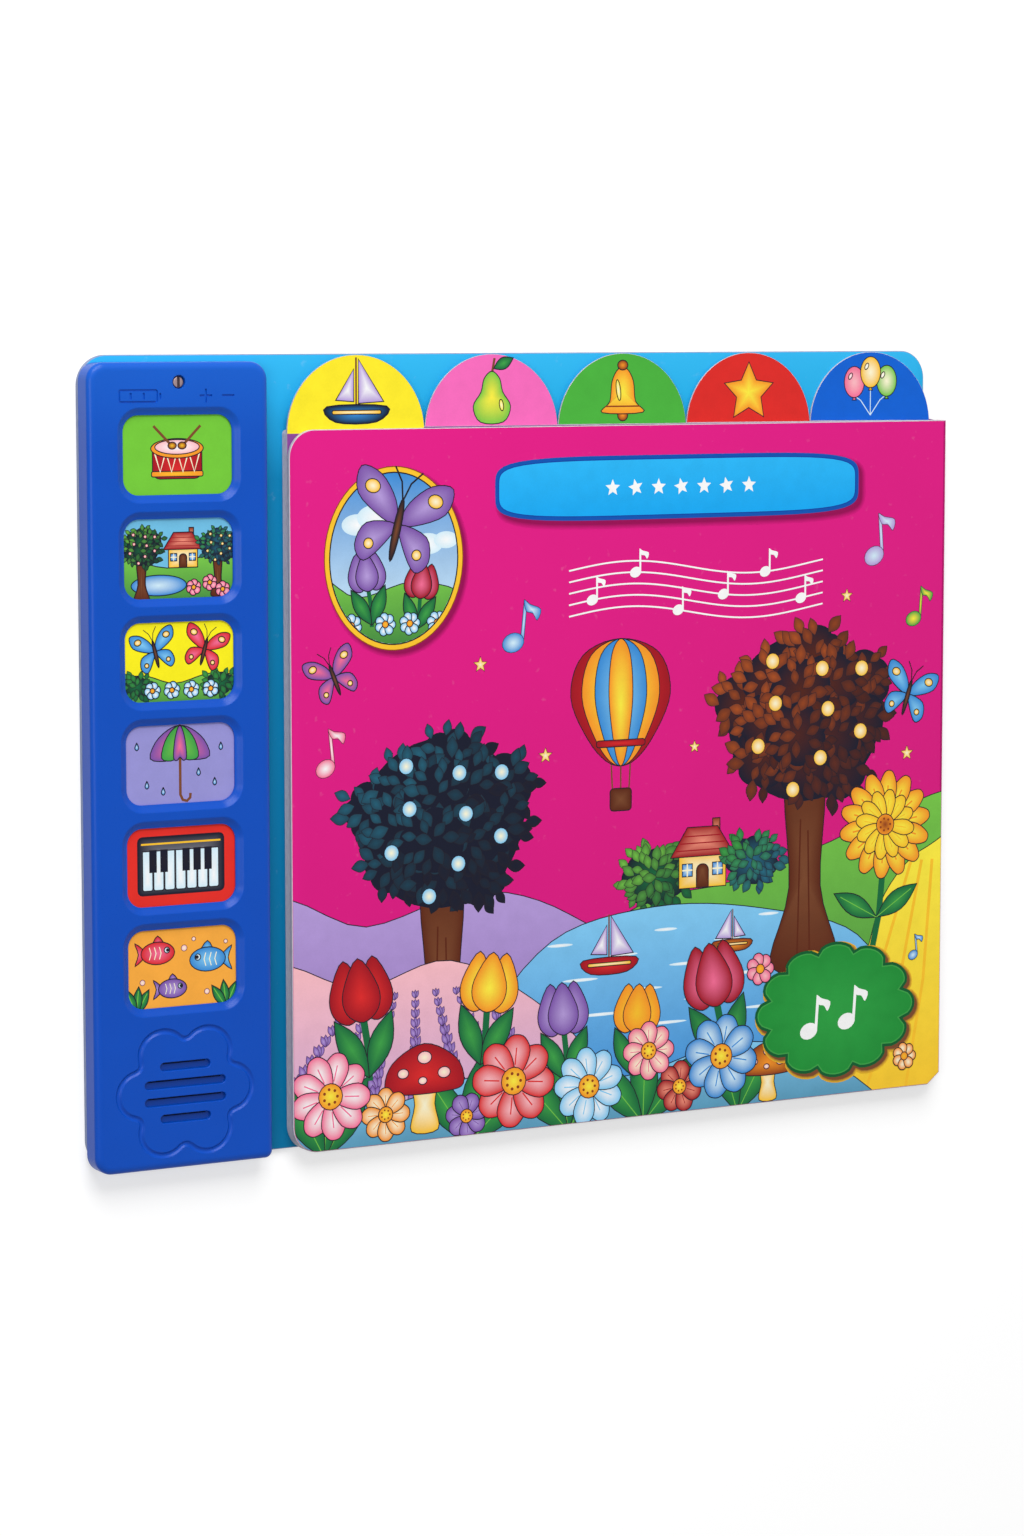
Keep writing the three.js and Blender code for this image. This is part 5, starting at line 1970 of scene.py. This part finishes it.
    def build(self, finishes: Finishes) -> list[bpy.types.Object]:
        """Builds the shell over its node.

        Args:
            finishes: The materials.

        Returns:
            The pieces.
        """
        box = Box.of("module_front_shell")
        tray = Box.of("battery_tray")
        cx, _ = box.mid
        top = box.z1
        radii = (self.page_corner_r, self.corner_r, self.corner_r, self.corner_r)

        def ring(inset: float) -> list[Point]:
            """The casing's outline, drawn in by the given amount."""
            return rounded_box(box.x0 + inset, box.y0 + inset, box.x1 - inset, box.y1 - inset,
                               tuple(max(r - inset, 0.3) for r in radii), 10)
        rings = [(ring(0.0), box.z0)]
        for i in range(9):
            angle = math.radians(90 * i / 8)
            inset = self.edge_in * (1 - math.cos(angle))
            rings.append((ring(inset), top - self.edge_r * (1 - math.sin(angle))))
        window_w = box.w - 2 * self.side
        field_h = box.h - self.head_h - self.grille_h
        window_h = (field_h - (self.buttons - 1) * self.web) / self.buttons - 2 * self.rim_w
        pitch = window_h + 2 * self.rim_w + self.web
        first = box.y1 - self.head_h - self.rim_w - window_h / 2
        windows = [self.window_rings(cx, first - i * pitch, window_w, window_h, top)
                   for i in range(self.buttons)]
        grille_y = box.y0 + self.grille_h / 2
        troughs, slits = self.slots(cx, grille_y, top)
        screw_y = box.y1 - self.screw_drop
        hole_r = self.screw_hole_r
        hole = [(ellipse(cx, screw_y, r, r, steps=32), top - depth)
                for r, depth in ((hole_r, self.screw_sink), (hole_r, 0.25), (hole_r + 0.12, 0.06),
                                 (hole_r + 0.35, 0.0), (hole_r + 0.36, -1.0))]
        well = ellipse(cx, screw_y, self.screw_well_r, self.screw_well_r, steps=20)
        mouth = rounded_box(tray.x0 - self.tray_gap, box.y1 - self.mouth_depth, tray.x1 + self.tray_gap,
                            box.y1 + 1, (0,) * 4)
        shell = solid("module_shell", rings)
        cut_away(shell, [
            solid("cavity_cut", [(ring(self.wall), box.z0 - 1), (ring(self.wall), top - self.face_t)]),
            solid("face_cut", *windows, *troughs, hole),
            self.rosette(cx, grille_y, top),
            *self.signs(cx, screw_y - self.sign_drop, top),
            solid("deep_cut", *slits, [(well, box.z0 - 1), (well, top)]),
            solid("mouth_cut", [(mouth, box.z0 - 1), (mouth, tray.z1 + self.tray_gap)]),
        ])

        def in_painted_shade_trough(x: float, y: float, z: float) -> bool:
            """Whether a point lies in a sound slot, between its rim and the casing's inside, where the casing
            takes painted shade.
            """
            return (math.hypot(x - cx, y - grille_y) < self.rosette_ring
                    and top - self.face_t < z < top - self.slot_depth / 2)
        two_toned(shell, (finishes.casing, finishes.casing_shade), in_painted_shade_trough)
        even = shell.modifiers.new("even", "WEIGHTED_NORMAL")
        even.keep_sharp = True
        applied(shell)
        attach(shell, "base")
        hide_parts("module_front_shell")
        return [shell]


@dataclass
class TrayScrew:
    """The small slotted screw that closes the battery tray."""

    shank_r: float = 0.9
    head_r: float = 1.6
    head_h: float = 0.8
    slot_w: float = 0.8
    slot_depth: float = 0.4

    def build(self, finishes: Finishes) -> list[bpy.types.Object]:
        """Turns the screw over its node and cuts its slot.

        Args:
            finishes: The materials.

        Returns:
            The piece.
        """
        box = Box.of("battery_tray_screw")
        cx, cy = box.mid
        neck = box.z1 - self.head_h
        dome = ((1.0, 0.28), (0.96, 0.12), (0.86, 0.03), (0.72, 0.0))
        profile = [(self.shank_r, box.z0), (self.shank_r, neck), (self.head_r, neck + 0.01)]
        profile += [(self.head_r * share, box.z1 - drop) for share, drop in dome]
        piece = solid("slotted_screw", [(ellipse(cx, cy, r, r, steps=40), z) for r, z in profile])
        half = self.slot_w / 2
        foot = box.z1 - self.slot_depth
        bar = rounded_box(cx - half, cy - 2, cx + half, cy + 2, (0,) * 4)
        cut_away(piece, [solid("slot_cut", [(bar, foot), (bar, box.z1 + 1)])])

        def in_painted_shade_slot(x: float, y: float, z: float) -> bool:
            """Whether a point lies on the floor or the sides of the slot, which take painted shade."""
            return (abs(x - cx) < half + 0.01 and foot - 0.01 < z < box.z1 - 0.01
                    and math.hypot(x - cx, y - cy) < self.head_r * 0.98)
        two_toned(piece, (finishes.inner["screw"], finishes.inner["painted_slot_shade"]), in_painted_shade_slot)
        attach(piece, "base")
        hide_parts("battery_tray_screw")
        return [piece]


@dataclass
class RubberDomes:
    """The silicone dome under each button."""

    buttons: int = 6
    travel: float = 0.8

    def build(self, finishes: Finishes) -> list[bpy.types.Object]:
        """Copies each dome from its node.

        Args:
            finishes: The materials.

        Returns:
            The pieces.
        """
        made = []
        for number in range(1, self.buttons + 1):
            name = f"rubber_dome_{number}"
            node = bpy.data.objects[name]
            box = Box.of(name)
            piece = bpy.data.objects.new(f"soft_dome_{number}", node.data.copy())
            piece.matrix_world = node.matrix_world.copy()
            bpy.context.collection.objects.link(piece)
            piece.data.materials.clear()
            piece.data.materials.append(finishes.inner["rubber"])
            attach(piece, "base")
            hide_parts(name)
            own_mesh(piece)
            made.append(piece)
        return made


class Ground(Enum):
    """Ground colours of the six button pictures, from the top."""

    GREEN = srgb(116, 200, 58)
    SKY = srgb(112, 190, 226)
    YELLOW = srgb(252, 240, 30)
    LILAC = srgb(152, 148, 212)
    RED = srgb(230, 48, 40)
    ORANGE = srgb(250, 172, 66)


@dataclass
class Buttons:
    """The six picture labels on their keys."""

    inset: float = 0.15
    corner_r: float = 5.1

    def build(self, finishes: Finishes) -> list[bpy.types.Object]:
        """Prints each label with its ground and picture.

        Args:
            finishes: The materials.

        Returns:
            The pieces.
        """
        pictures: tuple[Callable[[Print, float, float], None], ...] = (
            self.drum, self.scene, self.butterflies, self.umbrella, self.piano, self.fishes)
        pieces = []
        for i, (ground, picture) in enumerate(zip(Ground, pictures), start=1):
            box = Box.of(f"button_label_{i}")
            inset = self.inset
            window = rounded_box(inset, inset, box.w - inset, box.h - inset, (self.corner_r,) * 4, 6)
            art = Print((box.x0, box.y0), box.z1, window)
            art.flat(window, ground.value)
            picture(art, box.w / 2, box.h / 2)
            piece = art.build(f"button_print_{i}", finishes.ink)
            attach(piece, f"button_{i}")
            pieces.append(piece)
        return pieces

    def drum(self, art: Print, x: float, y: float) -> None:
        """A drum on green."""
        art.picture(DRUM, x, y - 1.4, 7.6)

    def scene(self, art: Print, x: float, y: float) -> None:
        """A cottage between trees by a pond."""
        art.risen(smooth([(-4, -4), (40, -4), (40, 9), (26, 12), (14, 9), (-4, 12)], 5),
                  Hue.LEAF_DARK, Hue.GRASS)
        art.shaded(ellipse(x - 6, 4.2, 8.5, 2.9), Hue.LAKE, Hue.ICE)
        plants = Plants(art)
        art.picture(COTTAGE, x + 1.5, y + 1.2, 6.4)
        plants.tree(6, 15, 7.0, Hue.LEAF_DARK, Hue.GRASS, Hue.ROSE, 9)
        plants.tree(29.5, 15, 6.4, Hue.TEAL, Hue.LEAF, Hue.GOLD, 9)
        for px, py in ((22, 3.4), (27, 4.6), (31, 2.6)):
            plants.daisy(px, py, 2.3, Hue.ROSE, Hue.BLUSH, Hue.GOLD, 6, px)

    def butterflies(self, art: Print, x: float, y: float) -> None:
        """Two butterflies over a green bank on yellow."""
        art.risen(smooth([(-4, -4), (40, -4), (40, 5), (28, 8), (16, 5.5), (6, 8), (-4, 6)], 5),
                  Hue.LEAF_DARK, Hue.GRASS)
        plants = Plants(art)
        plants.crown(4, 5, 5, 3.4, 26, Hue.LEAF_DARK, Hue.LEAF, 0.5)
        plants.crown(30, 5, 5.5, 3.6, 26, Hue.LEAF_DARK, Hue.LEAF, 0.5)
        art.picture(BUTTERFLY, x - 7.3, y + 2.6, 6.6, Hue.LAKE, Hue.SKY, 14)
        art.picture(BUTTERFLY, x + 7.8, y + 2.8, 6.6, Hue.RED, Hue.ROSE, -16)
        for px in (9, 15, 21, 27):
            plants.daisy(px, 3.6, 2.5, Hue.SKY, Hue.WHITE, Hue.GOLD, 6, px)

    def umbrella(self, art: Print, x: float, y: float) -> None:
        """An umbrella on lilac."""
        art.picture(UMBRELLA, x, y + 1.8, 9.2)
        for px, py in ((4, 17), (30, 16), (7, 6), (12, 4), (28, 6), (23, 9)):
            art.picture(RAINDROP, px, py, 1.0)

    def piano(self, art: Print, x: float, y: float) -> None:
        """Piano keys on red."""
        art.picture(PIANO, x, y, 8.8)

    def fishes(self, art: Print, x: float, y: float) -> None:
        """Three fishes, weed and bubbles on orange."""
        for px, angles in ((3, (60, 84, 112)), (31, (66, 96, 124))):
            Plants(art).fan(px, -1, 8, angles)
        art.picture(FISH, x - 7.5, y + 4.4, 5.2, Hue.RED, Hue.ROSE)
        art.picture(FISH, x + 8, y + 1.6, 5.6, Hue.LAKE, Hue.SKY, flip=True)
        art.picture(FISH, x - 3, y - 6, 4.4, Hue.PURPLE, Hue.LILAC)
        for px, py, r in ((18, 17, 0.9), (21, 19.4, 0.6), (25, 4, 0.8), (5, 8, 0.8), (31, 18, 0.6)):
            art.shaded(disc(px, py, r), Hue.BLUSH, Hue.CREAM, 0.16)


@dataclass
class InnerWorks:
    """CAD nodes that keep their own mesh and take a finish."""

    def build(self, frame: dict[str, Any], finishes: Finishes) -> int:
        """Gives each kept node its material.

        Args:
            frame: The loaded frame.
            finishes: The materials.

        Returns:
            How many nodes were dressed.
        """
        table: dict[str, bpy.types.Material] = {
            "spine_strip": finishes.spine,
            "module_back_plate": finishes.casing,
            "battery_tray": finishes.casing,
        }
        starts = {
            "button_key": "key", "rubber_dome": "rubber", "circuit_board": "circuit", "sound_chip": "chip",
            "speaker_frame": "steel", "speaker_cone": "cone", "speaker_magnet": "magnet",
            "battery_tray_screw": "screw", "button_cell": "steel", "battery_contact": "contact",
            "case_screw": "steel", "module_tape": "tape", "speaker_lead_red": "red",
            "speaker_lead_black": "black", "button_label": "key",
        }
        dressed = 0
        for name, node in frame["nodes"].items():
            material = table.get(name)
            for start, key in starts.items():
                if name.startswith(start):
                    material = finishes.inner[key]
            if material is None:
                continue
            for slot in node.material_slots:
                slot.material = material
            dressed += 1
        return dressed


@dataclass
class Studio:
    """Camera, lamp, sky and floor."""

    focal_px: float = 4071.3
    frame_px: float = 1536.0
    sensor: float = 36.0
    tilt_down: float = 6.274
    swing: float = 29.229
    roll: float = 0.0355
    offset: tuple[float, float, float] = (-0.3021, -0.5355, -5.6334)
    nearest: float = 0.01
    key_place: tuple[float, float, float] = (-0.35, 1.55, 1.2)
    key_size: float = 1.3
    key_power: float = 36.0
    side_place: tuple[float, float, float] = (-1.17, 0.1, 1.35)
    side_size: float = 0.6
    side_power: float = 5.0
    floor_size: float = 6.0
    floor_grey: float = 0.62
    floor_glow: float = 0.5
    sky: float = 0.33

    def camera(self) -> None:
        """Places the camera from its angles about the cover's lower left corner."""
        cover = Box.of("front_cover")
        turn = (Matrix.Rotation(math.radians(self.roll), 3, "Z")
                @ Matrix.Rotation(math.radians(self.tilt_down), 3, "X")
                @ Matrix.Rotation(math.radians(self.swing), 3, "Y"))
        scale = cover.h * MM
        back = turn.transposed()
        place = Vector((cover.x0, cover.y0, cover.z1)) * MM - back @ (Vector(self.offset) * scale)
        data = bpy.data.cameras.new("camera")
        data.sensor_fit = "VERTICAL"
        data.sensor_height = self.sensor
        data.lens = self.focal_px / self.frame_px * self.sensor
        data.clip_start = self.nearest
        camera = bpy.data.objects.new("camera", data)
        camera.matrix_world = Matrix.Translation(place) @ back.to_4x4()
        bpy.context.collection.objects.link(camera)
        bpy.context.scene.camera = camera

    def lamp(self, name: str, place: tuple[float, float, float], size: float, power: float) -> None:
        """One soft square lamp that faces the book."""
        data = bpy.data.lights.new(name, "AREA")
        data.size = size
        data.energy = power
        lamp = bpy.data.objects.new(name, data)
        lamp.location = place
        lamp.rotation_euler = (-Vector(place)).to_track_quat("-Z", "Y").to_euler()
        bpy.context.collection.objects.link(lamp)

    def lights(self) -> None:
        """A large lamp beyond the book's head, a small one at its left, and a sky that gloss sees white."""
        self.lamp("key_lamp", self.key_place, self.key_size, self.key_power)
        self.lamp("side_lamp", self.side_place, self.side_size, self.side_power)
        world = bpy.data.worlds.new("world")
        world.use_nodes = True
        nodes = Nodes(world.node_tree)
        back = nodes.tree.nodes["Background"]
        nodes.put(back.inputs["Color"], (1.0, 1.0, 1.0))
        nodes.put(back.inputs["Strength"], self.sky + nodes.background_rays() * (1 - self.sky))
        bpy.context.scene.world = world

    def floor(self) -> None:
        """The white floor, whose own glow carries it to white while it keeps the shadow."""
        mesh = bmesh.new()
        half = self.floor_size / 2
        mesh.faces.new([mesh.verts.new((x, y, 0)) for x, y in
                        ((-half, -half), (half, -half), (half, half), (-half, half))])
        shader = Shader("white_floor")
        glow = shader.shade((self.floor_glow,) * 3, shader.background_rays())
        material = shader.set(Base_Color=(self.floor_grey,) * 3, Roughness=0.9, Specular_IOR_Level=0.1,
                              Emission_Color=glow, Emission_Strength=1.0)
        object_from(mesh, "floor", [material])

    def build(self) -> None:
        """Sets up the whole studio."""
        self.camera()
        self.lights()
        self.floor()
        bpy.context.scene.view_settings.view_transform = "Standard"


def corners(bounds: Any) -> list[list[float]]:
    """The two corners of a box as plain lists."""
    return [[float(value) for value in corner] for corner in bounds]


def main() -> None:
    """Loads the frame and builds the looks of every piece."""
    logging.basicConfig(level=logging.INFO, format="%(message)s")
    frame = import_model()
    Studio().build()
    finishes = Finishes.make()
    for part in (BackBoard(), Leaves(), Cover(), ModuleCase(), TrayScrew(), RubberDomes(), Buttons()):
        for piece in part.build(finishes):
            LOG.info("%s: %d faces", piece.name, len(piece.data.polygons))
    LOG.info("kept nodes dressed: %d", InnerWorks().build(frame, finishes))


if __name__ == "__main__":
    main()
